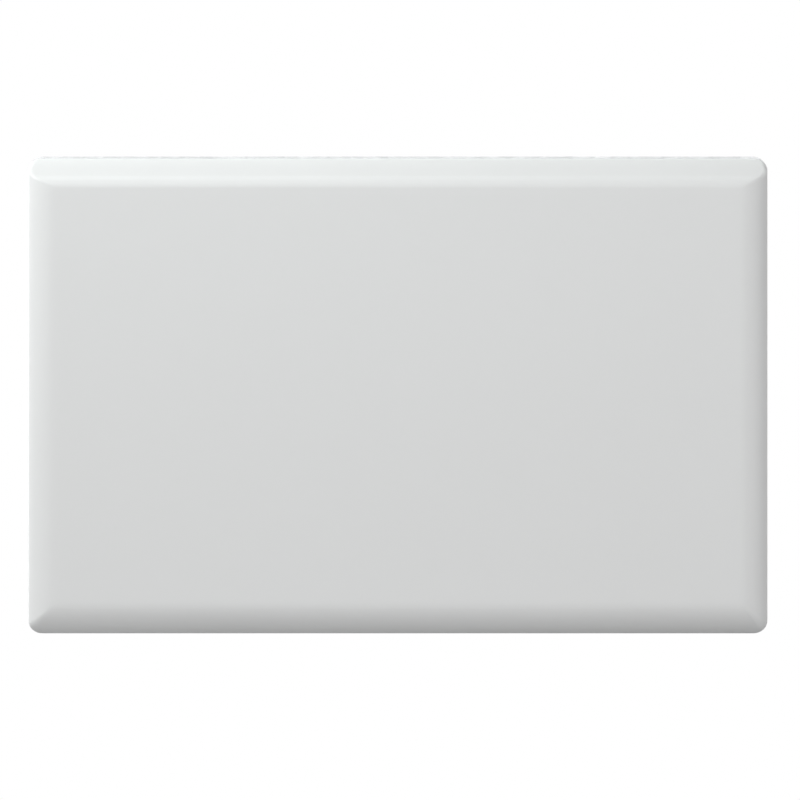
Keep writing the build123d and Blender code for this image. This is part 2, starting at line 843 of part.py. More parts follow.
# Control housing: a box open at its front and top, on pads that reach the back plate
housing_span = (control_left, control_right)
housing_heights = (housing_bottom, housing_top)
with BuildPart() as control_housing:
    block(housing_span, (control_front, control_rear), housing_heights)
    block(
        (housing_in_left, housing_in_right),
        (control_front, housing_in_rear),
        (housing_in_bottom, housing_top),
        Mode.SUBTRACT,
    )
    lid_bosses = [(x, control_front, z) for x, z in lid_screw_places]
    bars(lid_bosses, to_wall, boss_radius, housing_in_rear - control_front)
    bars(lid_bosses, to_wall, small_screw_radius, small_screw_length, Mode.SUBTRACT)
    posts = [(x, housing_in_rear, z) for x, z in board_screw_places]
    bars(posts, to_room, post_radius, board_stand_off)
    board_posts = [(x, board_front, z) for x, z in board_screw_places]
    bars(board_posts, to_wall, small_screw_radius, short_screw_length, Mode.SUBTRACT)
    pads = [(x, back_front, z) for x, z in housing_screw_places]
    bars(pads, to_room, boss_radius, back_front - housing_in_rear + board_stand_off - fit_gap)
    bars(pads, to_room, small_screw_radius, short_screw_length - back_sheet, Mode.SUBTRACT)
    with BuildSketch(Plane.XY.offset(housing_bottom)):
        with Locations((bay_x, bay_y)):
            SlotOverall(loom_hole_length, loom_hole_width)
    extrude(amount=housing_wall, mode=Mode.SUBTRACT)

control_housing.part.label = "control_housing"
export_step(control_housing.part, "parts/control_housing.step")

with BuildPart() as control_lid:
    block(housing_span, (control_front - control_lid_thickness, control_front), housing_heights)
    with BuildSketch(room_plane(control_front)):
        with Locations(*lid_screw_places):
            Circle(small_screw_radius + fit_gap)
    extrude(amount=control_lid_thickness, mode=Mode.SUBTRACT)

control_lid.part.label = "control_lid"
export_step(control_lid.part, "parts/control_lid.step")

# Control fascia: a shallow tray under the window in the cover's top, holding wheel, switch and lens
wheel_chord = sqrt(wheel_radius**2 - (housing_top - wheel_z) ** 2)
switch_x = bay_x + bay_length / 2 - switch_inset
bezel_top = tray_floor_z + bezel_height
rocker_z = bezel_top - pivot_drop
lens_x = bay_x - bay_length / 2 + lens_inset
with BuildPart() as control_fascia:
    block(housing_span, (control_front, control_rear), (housing_top, tray_top))
    with BuildSketch(Plane.XY.offset(tray_top)):
        with Locations((bay_x, bay_y)):
            RectangleRounded(bay_length, bay_depth, tray_wall)
    extrude(amount=-tray_recess, mode=Mode.SUBTRACT)
    for left in (housing_in_left + fit_gap, housing_in_right - fit_gap - skirt_thickness):
        block(
            (left, left + skirt_thickness),
            (control_front + skirt_thickness, bay_y),
            (housing_top - skirt_depth, housing_top),
        )
    with BuildSketch(Plane.XY.offset(tray_floor_z)):
        with Locations((wheel_x, bay_y)):
            Rectangle(2 * (wheel_chord + wheel_gap), wheel_thickness + 2 * wheel_gap)
        with Locations((switch_x, bay_y)):
            Rectangle(switch_length, switch_width)
        with Locations((lens_x, bay_y)):
            Circle(lens_radius)
    extrude(amount=-tray_floor, mode=Mode.SUBTRACT)

control_fascia.part.label = "control_fascia"
export_step(control_fascia.part, "parts/control_fascia.step")


# Thermostat wheel, turned by a fingertip, on the flatted shaft of the potentiometer
def shaft_section():
    """The dial shaft's round section with a flat on its top, about the wheel's axis."""
    with Locations((wheel_x, wheel_z)):
        Circle(dial_shaft_radius)
    with Locations((wheel_x, wheel_z + 2 * dial_shaft_radius - shaft_flat)):
        Rectangle(2 * dial_shaft_radius, 2 * dial_shaft_radius, mode=Mode.SUBTRACT)


with BuildPart() as dial_bore:
    with BuildSketch(room_plane(wheel_rear)):
        shaft_section()
    extrude(amount=wheel_thickness)

web_recess = (wheel_thickness - wheel_web) / 2
with BuildPart() as thermostat_wheel:
    with BuildSketch(room_plane(wheel_rear)):
        with Locations((wheel_x, wheel_z)):
            Circle(wheel_radius)
            with PolarLocations(wheel_radius, wheel_teeth):
                Circle(tooth_radius, mode=Mode.SUBTRACT)
    extrude(amount=wheel_thickness)
    for face in (wheel_rear, wheel_rear - wheel_thickness + web_recess):
        with BuildSketch(room_plane(face)):
            with Locations((wheel_x, wheel_z)):
                Circle(wheel_radius - wheel_rim)
                Circle(hub_radius, mode=Mode.SUBTRACT)
        extrude(amount=web_recess, mode=Mode.SUBTRACT)
    add(dial_bore.part, mode=Mode.SUBTRACT)

thermostat_wheel.part.label = "thermostat_wheel"
export_step(thermostat_wheel.part, "parts/thermostat_wheel.step")

dial_front = wheel_rear + dial_body_gap
shaft_end = board_front - shaft_tail
with BuildPart() as dial_shaft:
    add(dial_bore.part)
    bar((wheel_x, wheel_rear, wheel_z), to_wall, dial_shaft_radius, shaft_end - wheel_rear)

dial_shaft.part.label = "dial_shaft"
export_step(dial_shaft.part, "parts/dial_shaft.step")

with BuildPart() as potentiometer:
    block(
        (wheel_x - dial_body_side / 2, wheel_x + dial_body_side / 2),
        (dial_front, board_front),
        (wheel_z - dial_body_side / 2, wheel_z + dial_body_side / 2),
    )
    bore_depth = shaft_end - dial_front + running_gap
    bar(
        (wheel_x, dial_front, wheel_z),
        to_wall,
        dial_shaft_radius + running_gap,
        bore_depth,
        Mode.SUBTRACT,
    )

potentiometer.part.label = "potentiometer"
export_step(potentiometer.part, "parts/potentiometer.step")

# Rocker switch: a body with a round seat, and a rocker on two trunnions, resting with one end down
switch_bottom = bezel_top - switch_depth
rocker_rear = bay_y + rocker_width / 2
with BuildPart() as switch_body:
    block(
        (switch_x - bezel_length / 2, switch_x + bezel_length / 2),
        (bay_y - bezel_width / 2, bay_y + bezel_width / 2),
        (tray_floor_z, bezel_top),
    )
    block(
        (switch_x - switch_length / 2, switch_x + switch_length / 2),
        (bay_y - switch_width / 2, bay_y + switch_width / 2),
        (switch_bottom, bezel_top),
    )
    bar(
        (switch_x, rocker_rear + rocker_gap, rocker_z),
        to_room,
        rocker_radius + rocker_gap,
        rocker_width + 2 * rocker_gap,
        Mode.SUBTRACT,
    )
    bar(
        (switch_x, rocker_rear + trunnion_length + running_gap, rocker_z),
        to_room,
        trunnion_radius + running_gap,
        rocker_width + 2 * (trunnion_length + running_gap),
        Mode.SUBTRACT,
    )

switch_body.part.label = "switch_body"
export_step(switch_body.part, "parts/switch_body.step")

facet_rise = pivot_drop - rocker_sink
ridge_x = facet_rise * tan(radians(rocker_tilt))
raised_z = (facet_rise + rocker_radius * sin(radians(2 * rocker_tilt))) / cos(radians(2 * rocker_tilt))
rocker_plane = Plane(origin=(switch_x, rocker_rear, rocker_z), x_dir=(1, 0, 0), z_dir=to_room)
with BuildPart() as switch_rocker:
    with BuildSketch(rocker_plane):
        Circle(rocker_radius)
        with BuildLine():
            Polyline(
                (ridge_x, facet_rise),
                (rocker_radius, facet_rise),
                (rocker_radius, 2 * rocker_radius),
                (-rocker_radius, 2 * rocker_radius),
                (-rocker_radius, raised_z),
                close=True,
            )
        make_face(mode=Mode.SUBTRACT)
    extrude(amount=rocker_width)
    trunnion_start = (switch_x, rocker_rear + trunnion_length, rocker_z)
    bar(trunnion_start, to_room, trunnion_radius, rocker_width + 2 * trunnion_length)

switch_rocker.part.label = "switch_rocker"
export_step(switch_rocker.part, "parts/switch_rocker.step")

with BuildPart() as switch_spades:
    for x in (switch_x - spade_pitch / 2, switch_x + spade_pitch / 2):
        block(
            (x - spade_thickness / 2, x + spade_thickness / 2),
            (bay_y - spade_width / 2, bay_y + spade_width / 2),
            (switch_bottom - spade_length, switch_bottom),
        )

switch_spades.part.label = "switch_spades"
export_step(switch_spades.part, "parts/switch_spades.step")

with BuildPart() as indicator_lens:
    bar((lens_x, bay_y, tray_floor_z + lens_rise), (0, 0, -1), lens_radius, lens_length)
    bar((lens_x, bay_y, housing_top), (0, 0, -1), lens_flange_radius, lens_flange)
    fillet(indicator_lens.edges().group_by(Axis.Z)[-1], lens_rise / 2)

indicator_lens.part.label = "indicator_lens"
export_step(indicator_lens.part, "parts/indicator_lens.step")

# Control board with its relay, power module, capacitors and terminal strip
with BuildPart() as control_board:
    block((board_left, board_right), (board_front, board_rear), (board_bottom, board_top))
    with BuildSketch(room_plane(board_rear)):
        with Locations(*board_screw_places):
            Circle(small_screw_radius + fit_gap)
    extrude(amount=board_thickness, mode=Mode.SUBTRACT)

control_board.part.label = "control_board"
export_step(control_board.part, "parts/control_board.step")


def on_board(size, x, z):
    """A component's block standing on the board: size along X, out from the board and along Z."""
    block(
        (x - size[0] / 2, x + size[0] / 2),
        (board_front - size[1], board_front),
        (z - size[2] / 2, z + size[2] / 2),
    )


row_z = board_bottom + part_row_z + module_size[2] / 2
with BuildPart() as relay:
    on_board(relay_size, board_x - part_spread, row_z)
    chamfer(relay.edges().filter_by(Axis.Y), component_chamfer)

relay.part.label = "relay"
export_step(relay.part, "parts/relay.step")

with BuildPart() as power_module:
    on_board(module_size, board_x + part_spread, row_z)
    chamfer(power_module.faces().sort_by(Axis.Y)[0].edges(), component_chamfer)

power_module.part.label = "power_module"
export_step(power_module.part, "parts/power_module.step")

capacitor_z = row_z - relay_size[2] / 2 - capacitor_radius - board_side_gap
with BuildPart() as capacitors:
    for column in (0, 1):
        x = board_x - part_spread + (2 * column - 1) * (capacitor_radius + board_side_gap)
        bar((x, board_front, capacitor_z), to_room, capacitor_radius, capacitor_length)

capacitors.part.label = "capacitors"
export_step(capacitors.part, "parts/capacitors.step")

strip_z = board_bottom + 2 * post_radius + strip_size[2] / 2 + board_side_gap
with BuildPart() as board_terminals:
    on_board(strip_size, board_x, strip_z)
    chamfer(board_terminals.edges().filter_by(Axis.X).group_by(Axis.Y)[0], 2 * component_chamfer)

board_terminals.part.label = "board_terminals"
export_step(board_terminals.part, "parts/board_terminals.step")


# Short screws: four hold the board to its posts, and two hold the housing to the back plate
with BuildPart() as short_screws:
    with Locations(*aimed(board_posts, to_wall)):
        add(short_screw)
    with Locations(*aimed([(x, back_rear, z) for x, z in housing_screw_places], to_room)):
        add(short_screw)

short_screws.part.label = "short_screws"
export_step(short_screws.part, "parts/short_screws.step")

# Connection box on the back plate's rear: open to the wall, with a saddle for the cord's clamp
saddle_z = (box_bottom + clamp_lift, box_bottom + clamp_lift + clamp_height)
saddle_top = gland_y - clamp_play / 2
clamp_holes = [
    (box_x + side * clamp_screw_spacing / 2, saddle_top, sum(saddle_z) / 2) for side in sides.values()
]
with BuildPart() as connection_box:
    with BuildSketch(room_plane(box_mouth)):
        with Locations((box_x, box_middle_z)):
            RectangleRounded(box_width, box_height, box_corner)
    extrude(amount=box_mouth - back_rear)
    with BuildSketch(room_plane(box_mouth)):
        with Locations((box_x, box_middle_z)):
            RectangleRounded(box_width - 2 * box_wall, box_height - 2 * box_wall, box_corner / 2)
    extrude(amount=box_mouth - box_floor, mode=Mode.SUBTRACT)
    corner_bosses = [(x, box_mouth, z) for x, z in box_corners]
    bars(corner_bosses, to_room, boss_radius, box_mouth - box_floor)
    bars(corner_bosses, to_room, small_screw_radius, small_screw_length, Mode.SUBTRACT)
    block((box_x - clamp_width / 2, box_x + clamp_width / 2), (box_floor, saddle_top), saddle_z)
    bars(clamp_holes, to_room, small_screw_radius, small_screw_length, Mode.SUBTRACT)
    bar((box_x, gland_y, saddle_z[0]), (0, 0, 1), cord_bore_radius, clamp_height, Mode.SUBTRACT)
    bar((box_x, gland_y, box_bottom), (0, 0, 1), gland_thread_radius, box_wall, Mode.SUBTRACT)
    bar((box_x, box_floor, grommet_z), to_room, grommet_radius, box_wall, Mode.SUBTRACT)
    bar((earth_x, box_floor, earth_z), to_room, earth_radius, box_wall, Mode.SUBTRACT)
    box_feet = [(x, box_floor, z) for x, z in box_screw_places]
    bars(box_feet, to_room, screw_radius + fit_gap, box_wall, Mode.SUBTRACT)

connection_box.part.label = "connection_box"
export_step(connection_box.part, "parts/connection_box.step")

with BuildPart() as connection_lid:
    with BuildSketch(room_plane(box_rear)):
        with Locations((box_x, box_middle_z)):
            RectangleRounded(box_width, box_height, box_corner)
        with Locations(*box_corners):
            Circle(small_screw_radius + fit_gap, mode=Mode.SUBTRACT)
    extrude(amount=box_lid_thickness)

connection_lid.part.label = "connection_lid"
export_step(connection_lid.part, "parts/connection_lid.step")

gland_mouth = (box_x, gland_y, box_bottom - gland_collar - gland_nose)
gland_length = gland_nose + gland_collar + gland_thread
with BuildPart() as cord_gland:
    bar(gland_mouth, (0, 0, 1), gland_nose_radius, gland_nose)
    bar((box_x, gland_y, box_bottom - gland_collar), (0, 0, 1), gland_collar_radius, gland_collar)
    bar((box_x, gland_y, box_bottom), (0, 0, 1), gland_thread_radius, gland_thread)
    bar(gland_mouth, (0, 0, 1), cord_bore_radius, gland_length, Mode.SUBTRACT)

cord_gland.part.label = "cord_gland"
export_step(cord_gland.part, "parts/cord_gland.step")

with BuildPart() as gland_nut:
    with BuildSketch(Plane.XY.offset(box_bottom + box_wall)):
        with Locations((box_x, gland_y)):
            RegularPolygon(gland_nut_flat / 2, nut_sides, major_radius=False)
            Circle(gland_thread_radius, mode=Mode.SUBTRACT)
    extrude(amount=gland_nut_height)

gland_nut.part.label = "gland_nut"
export_step(gland_nut.part, "parts/gland_nut.step")

# Terminal block: three poles, each with its screw sunk in a well
block_bottom = box_bottom + block_lift
block_top = block_bottom + block_height
block_rear = box_floor + block_depth
poles = [(box_x + step * pole_pitch, block_rear, (block_bottom + block_top) / 2) for step in (-1, 0, 1)]
pole_screws = [(x, y - small_head, z) for x, y, z in poles]
with BuildPart() as terminal_block:
    block_span = (box_x - block_width / 2, box_x + block_width / 2)
    block(block_span, (box_floor, block_rear), (block_bottom, block_top))
    for step in (-1, 1):
        gap_x = box_x + step * pole_pitch / 2
        block(
            (gap_x - clamp_play, gap_x + clamp_play),
            (block_rear - small_head, block_rear),
            (block_bottom, block_top),
            Mode.SUBTRACT,
        )
    bars(poles, to_room, small_head_radius + fit_gap, small_head, Mode.SUBTRACT)
    bars(pole_screws, to_room, small_screw_radius, small_screw_length, Mode.SUBTRACT)

terminal_block.part.label = "terminal_block"
export_step(terminal_block.part, "parts/terminal_block.step")

with BuildPart() as terminal_screws:
    with Locations(*aimed(pole_screws, to_room)):
        add(small_screw)

terminal_screws.part.label = "terminal_screws"
export_step(terminal_screws.part, "parts/terminal_screws.step")

# Cord clamp: a bar with a half-round groove, screwed over the saddle
clamp_front = gland_y + clamp_play / 2
lug_rear = clamp_front + clamp_lug
clamp_middle = cord_bore_radius + clamp_wall
clamp_screw_seats = [(x, lug_rear, z) for x, y, z in clamp_holes]
with BuildPart() as cord_clamp:
    block((box_x - clamp_width / 2, box_x + clamp_width / 2), (clamp_front, lug_rear), saddle_z)
    block((box_x - clamp_middle, box_x + clamp_middle), (clamp_front, gland_y + clamp_middle), saddle_z)
    bar((box_x, gland_y, saddle_z[0]), (0, 0, 1), cord_bore_radius, clamp_height, Mode.SUBTRACT)
    bars(clamp_screw_seats, to_room, small_screw_radius + fit_gap, clamp_lug, Mode.SUBTRACT)

cord_clamp.part.label = "cord_clamp"
export_step(cord_clamp.part, "parts/cord_clamp.step")

# Small screws: four in the connection lid, two in the cord clamp and four in the control lid
box_lid_seats = [(x, box_rear, z) for x, z in box_corners]
control_lid_front = control_front - control_lid_thickness
control_lid_seats = [(x, control_lid_front, z) for x, z in lid_screw_places]
with BuildPart() as lid_screws:
    with Locations(*aimed(box_lid_seats + clamp_screw_seats, to_room)):
        add(small_screw)
    with Locations(*aimed(control_lid_seats, to_wall)):
        add(small_screw)

lid_screws.part.label = "lid_screws"
export_step(lid_screws.part, "parts/lid_screws.step")

# Earth stud through the box's floor and the back plate, with its washer and nut
earth_washer_rear = box_floor + earth_washer
earth_nut_rear = earth_washer_rear + earth_nut
with BuildPart() as earth_stud:
    bar((earth_x, back_front, earth_z), to_wall, earth_radius, earth_length)
    bar((earth_x, back_front, earth_z), to_room, earth_washer_radius, 2 * earth_washer)

with BuildPart() as earth_fixings:
    bar((earth_x, box_floor, earth_z), to_wall, earth_washer_radius, earth_washer)
    with BuildSketch(room_plane(earth_nut_rear)):
        with Locations((earth_x, earth_z)):
            RegularPolygon(earth_nut_flat / 2, nut_sides, major_radius=False)
    extrude(amount=earth_nut)
    bar((earth_x, box_floor, earth_z), to_wall, earth_radius, earth_washer + earth_nut, Mode.SUBTRACT)

earth_stud.part.label = "earth_stud"
export_step(earth_stud.part, "parts/earth_stud.step")
earth_fixings.part.label = "earth_fixings"
export_step(earth_fixings.part, "parts/earth_fixings.step")

with BuildPart() as lead_grommet:
    bar((box_x, box_floor, grommet_z), to_wall, grommet_flange_radius, grommet_flange)
    bar((box_x, box_floor, grommet_z), to_room, grommet_radius, box_floor - back_front)
    bar((box_x, back_front, grommet_z), to_room, grommet_flange_radius, grommet_flange)
    bore_length = box_floor - back_front + 2 * grommet_flange
    bore_start = (box_x, box_floor + grommet_flange, grommet_z)
    bar(bore_start, to_room, grommet_bore_radius, bore_length, Mode.SUBTRACT)

lead_grommet.part.label = "lead_grommet"
export_step(lead_grommet.part, "parts/lead_grommet.step")

# Room sensor: a small bulb in a clip on the back plate
sensor_x = half_width - sensor_margin
sensor_y = back_front - sensor_stand_off
sensor_z = cover_bottom + sensor_lift
sensor_start = (sensor_x - sensor_length / 2, sensor_y, sensor_z)
with BuildPart() as room_sensor:
    bar(sensor_start, (1, 0, 0), sensor_radius, sensor_length)

room_sensor.part.label = "room_sensor"
export_step(room_sensor.part, "parts/room_sensor.step")

clip_span = (sensor_x - clip_width / 2, sensor_x + clip_width / 2)
with BuildPart() as sensor_clip:
    block(
        clip_span,
        (back_front - clip_sheet, back_front),
        (sensor_z - clip_width, sensor_z + clip_width),
    )
    block(clip_span, (sensor_y, back_front), (sensor_z - clip_sheet / 2, sensor_z + clip_sheet / 2))
    bar((clip_span[0], sensor_y, sensor_z), (1, 0, 0), sensor_radius + clip_sheet, clip_width)
    bar((clip_span[0], sensor_y, sensor_z), (1, 0, 0), sensor_radius, clip_width, Mode.SUBTRACT)

sensor_clip.part.label = "sensor_clip"
export_step(sensor_clip.part, "parts/sensor_clip.step")


# Leads: each runs from one terminal to the next, on a route chosen by hand
def lead(points):
    """A lead along straight runs joined by tangent arcs; prints the arcs' radii."""
    radii = []
    for before, corner, after in zip(points, points[1:], points[2:]):
        run_in = Vector(*corner) - Vector(*before)
        run_out = Vector(*after) - Vector(*corner)
        half_turn = radians(run_in.get_angle(run_out)) / 2
        radii.append(lead_ease * min(run_in.length, run_out.length) / tan(half_turn))
    print("lead radii", [round(radius, 1) for radius in radii])
    with BuildPart() as tube:
        with BuildLine() as route:
            FilletPolyline(*points, radius=radii)
        with BuildSketch(Plane(origin=points[0], z_dir=route.wire() % 0)):
            Circle(lead_radius)
        sweep(path=route.wire())
    return tube.part


strip_bottom = strip_z - strip_size[2] / 2
block_lead_y = (box_floor + block_rear) / 2
cutout_lead_y = cutout_tab_y + tab_sheet / 2
cutout_lead_out = back_front - cutout_lead_y
tab_top = element_centre_z + tab_length
entry_out = strip_size[1] / 2 + back_front - board_front + lead_entry_shift
entries = [board_x + lead_entry_shift + (place - 2) * lead_entry_gap for place in range(5)]
loom_foot = (box_x, grommet_z)
loom_head = (board_x, housing_bottom - lead_drop)
cutout_end = (cutout_places[1] + cutout_tab_reach, cutout_z)
left_tab = (stud_roots["left"] - tab_sheet / 2, tab_top)
right_tab = (stud_roots["right"] + tab_sheet / 2, tab_top)


def by_foot(across, out, up):
    """A point by its distances from where the leads pass the back plate: across, out to the room, up."""
    return (box_x + across, back_front - out, grommet_z + up)


def on_way(low, high, share, shift, out):
    """A point at a share of the way from low to high, moved across by shift, standing out to the room."""
    x = low[0] + share * (high[0] - low[0]) + shift
    return (x, back_front - out, low[1] + share * (high[1] - low[1]))


def between(low, high, across, out, up):
    """A point at shares of the width and the height between low and high, standing out to the room."""
    x = low[0] + across * (high[0] - low[0])
    return (x, back_front - out, low[1] + up * (high[1] - low[1]))


def into_strip(place):
    """The last straight run into the terminal strip from below, at one of its entries."""
    x, y = entries[place], back_front - entry_out
    return [(x, y, loom_head[1]), (x, y, strip_bottom)]


live_route = [
    (box_x - pole_pitch, block_lead_y, block_top),
    (box_x - pole_pitch, block_lead_y, block_top + 0.42 * (grommet_z - block_top)),
    by_foot(-2.4, -6.3, -2.3),
    by_foot(-1.6, 1.2, 0.4),
    by_foot(-1.8, 10.2, 6.0),
    by_foot(-3.0, 12.2, 24.0),
    on_way(loom_foot, loom_head, 0.285, -0.3, 9.2),
    on_way(loom_foot, loom_head, 0.541, -4.0, 11.2),
    on_way(loom_foot, loom_head, 0.797, -1.8, 10.2),
    *into_strip(0),
]
neutral_route = [
    (box_x, block_lead_y, block_top),
    (box_x, block_lead_y, block_top + 0.45 * (grommet_z - block_top)),
    by_foot(1.9, -6.3, -2.6),
    by_foot(1.6, 1.2, 0.4),
    by_foot(2.5, 10.2, 5.0),
    by_foot(5.0, 13.2, 23.0),
    on_way(loom_foot, loom_head, 0.285, 6.2, 11.2),
    on_way(loom_foot, loom_head, 0.527, 4.0, 10.2),
    on_way(loom_foot, loom_head, 0.783, 4.2, 10.7),
    *into_strip(1),
]
load_route = [
    (cutout_end[0], cutout_lead_y, cutout_z),
    between(cutout_end, loom_head, 0.096, cutout_lead_out, 0.0),
    between(cutout_end, loom_head, 0.155, 7.2, 0.169),
    between(cutout_end, loom_head, 0.275, 5.2, 0.429),
    between(cutout_end, loom_head, 0.488, 6.2, 0.617),
    between(cutout_end, loom_head, 0.710, 10.2, 0.662),
    between(cutout_end, loom_head, 0.894, 18.2, 0.584),
    between(cutout_end, loom_head, 1.014, 17.2, 0.818),
    *into_strip(3),
]
link_route = [
    (cutout_places[1] - cutout_tab_reach, cutout_lead_y, cutout_z),
    (cutout_places[1] - 35, cutout_lead_y, cutout_z),
    (cutout_places[1] - 60, back_front - 6.2, cutout_z + 6),
    (cutout_places[0] + 61, back_front - 5.2, cutout_z + 3),
    (cutout_places[0] + 35, cutout_lead_y, cutout_z),
    (cutout_places[0] + cutout_tab_reach, cutout_lead_y, cutout_z),
]
heater_end = (cutout_places[0] - cutout_tab_reach, cutout_z)
heater_route = [
    (heater_end[0], cutout_lead_y, cutout_z),
    between(heater_end, left_tab, 0.137, cutout_lead_out, 0.0),
    between(heater_end, left_tab, 0.377, 9.2, -0.146),
    between(heater_end, left_tab, 0.617, 16.2, 0.042),
    between(heater_end, left_tab, 0.802, 25.2, 0.292),
    between(heater_end, left_tab, 0.946, 27.7, 0.375),
    (left_tab[0], element_y, tab_top + 15),
    (left_tab[0], element_y, tab_top),
]
return_route = [
    (right_tab[0], element_y, tab_top),
    (right_tab[0], element_y, tab_top + 15),
    between(right_tab, loom_head, 0.037, 23.2, 0.158),
    between(right_tab, loom_head, 0.318, 22.2, 0.297),
    between(right_tab, loom_head, 0.633, 24.2, 0.475),
    between(right_tab, loom_head, 0.877, 26.2, 0.683),
    between(right_tab, loom_head, 1.009, 20.2, 0.891),
    *into_strip(2),
]
earth_y = (earth_washer_rear + earth_nut_rear) / 2
earth_foot = earth_z - earth_nut_flat / 2
earth_route = [
    (box_x + pole_pitch, block_lead_y, block_top),
    (box_x + pole_pitch, block_lead_y, block_top + 0.355 * (earth_foot - block_top)),
    (earth_x, earth_y, block_top + 0.632 * (earth_foot - block_top)),
    (earth_x, earth_y, earth_foot),
]
sensor_foot = (sensor_x + sensor_length / 2, sensor_z)
sensor_route = [
    (sensor_foot[0], sensor_y, sensor_z),
    (sensor_foot[0] + 12, sensor_y, sensor_z),
    (sensor_foot[0] + 20, back_front - 13.2, sensor_z + 16),
    on_way(sensor_foot, loom_head, 0.180, 21.0, 16.2),
    on_way(sensor_foot, loom_head, 0.361, 18.0, 14.2),
    on_way(sensor_foot, loom_head, 0.564, 21.0, 16.2),
    on_way(sensor_foot, loom_head, 0.767, 18.0, 15.2),
    *into_strip(4),
]

live_lead = lead(live_route)
neutral_lead = lead(neutral_route)
load_lead = lead(load_route)
link_lead = lead(link_route)
heater_lead = lead(heater_route)
return_lead = lead(return_route)
sensor_lead = lead(sensor_route)

with BuildPart() as supply_leads:
    add(live_lead)
    add(neutral_lead)

supply_leads.part.label = "supply_leads"
export_step(supply_leads.part, "parts/supply_leads.step")

with BuildPart() as heater_leads:
    add(load_lead)
    add(link_lead)
    add(heater_lead)
    add(return_lead)
    add(sensor_lead)

heater_leads.part.label = "heater_leads"
export_step(heater_leads.part, "parts/heater_leads.step")

earth_lead = lead(earth_route)
earth_lead.label = "earth_lead"
export_step(earth_lead, "parts/earth_lead.step")

# Hangers on the back plate's rear: two ears that hold a pin each, for the rails' open hooks
hanger_rear = back_rear + hanger_sheet
hanger_heights = (pin_z - hanger_height / 2, pin_z + hanger_height / 2)
wing_end = ear_outer + hanger_wing
hanger_seats = [(x, hanger_rear, z) for x, z in hanger_screw_places]
with BuildPart() as hangers:
    for rail_x in rail_places:
        block((rail_x - wing_end, rail_x + wing_end), (back_rear, hanger_rear), hanger_heights)
        for ear_side in sides.values():
            with BuildSketch(Plane.YZ.offset(rail_x + ear_side * (ear_inner + ear_outer) / 2)):
                with Locations((pin_y, pin_z)):
                    Circle(ear_radius)
                with Locations(((back_rear + pin_y) / 2, pin_z)):
                    Rectangle(pin_y - back_rear, 2 * ear_radius)
                with Locations((pin_y, pin_z)):
                    Circle(pin_radius, mode=Mode.SUBTRACT)
            extrude(amount=hanger_sheet / 2, both=True)
    bars(hanger_seats, to_room, screw_radius + fit_gap, hanger_sheet, Mode.SUBTRACT)

hangers.part.label = "hangers"
export_step(hangers.part, "parts/hangers.step")

with BuildPart() as hanger_pins:
    for rail_x in rail_places:
        bar((rail_x - ear_outer, pin_y, pin_z), (1, 0, 0), pin_radius, 2 * ear_outer)
        bar((rail_x + ear_outer, pin_y, pin_z), (1, 0, 0), pin_head_radius, pin_head)
        bar((rail_x - ear_outer, pin_y, pin_z), (-1, 0, 0), pin_head_radius, pin_head)

hanger_pins.part.label = "hanger_pins"
export_step(hanger_pins.part, "parts/hanger_pins.step")

# Keepers on the back plate's rear: a web with an upturned lip, which the locks' noses catch
keeper_end = back_rear + keeper_reach
web_under = keeper_web_z - keeper_sheet
with BuildPart() as keepers:
    for rail_x in rail_places:
        span = (rail_x - keeper_width / 2, rail_x + keeper_width / 2)
        block(span, (back_rear, back_rear + keeper_sheet), (keeper_web_z - keeper_foot, keeper_web_z))
        block(span, (back_rear, keeper_end), (web_under, keeper_web_z))
        block(span, (keeper_end - keeper_sheet, keeper_end), (web_under, web_under + keeper_lip))
    keeper_seats = [(x, back_rear + keeper_sheet, z) for x, z in keeper_screw_places]
    bars(keeper_seats, to_room, screw_radius + fit_gap, keeper_sheet, Mode.SUBTRACT)

keepers.part.label = "keepers"
export_step(keepers.part, "parts/keepers.step")

bracket_seats = [(x, back_rear, z) for x, z in bracket_screw_places]
with BuildPart() as chassis_screws:
    with Locations(*aimed(hanger_seats + keeper_seats + bracket_seats + box_feet, to_room)):
        add(screw)

chassis_screws.part.label = "chassis_screws"
export_step(chassis_screws.part, "parts/chassis_screws.step")

# Rubber buffers that rest against the rails, each held by a headed peg through the back plate
buffer_rear = -(rail_depth + fit_gap)
with BuildPart() as rear_buffers:
    with BuildSketch(room_plane(buffer_rear)):
        with Locations(*peg_places):
            RectangleRounded(buffer_width, buffer_height, buffer_corner)
    extrude(amount=buffer_rear - back_rear)
    bars([(x, back_rear, z) for x, z in peg_places], to_room, peg_radius, back_sheet)
    bars([(x, back_front, z) for x, z in peg_places], to_room, peg_head_radius, peg_head)

rear_buffers.part.label = "rear_buffers"
export_step(rear_buffers.part, "parts/rear_buffers.step")

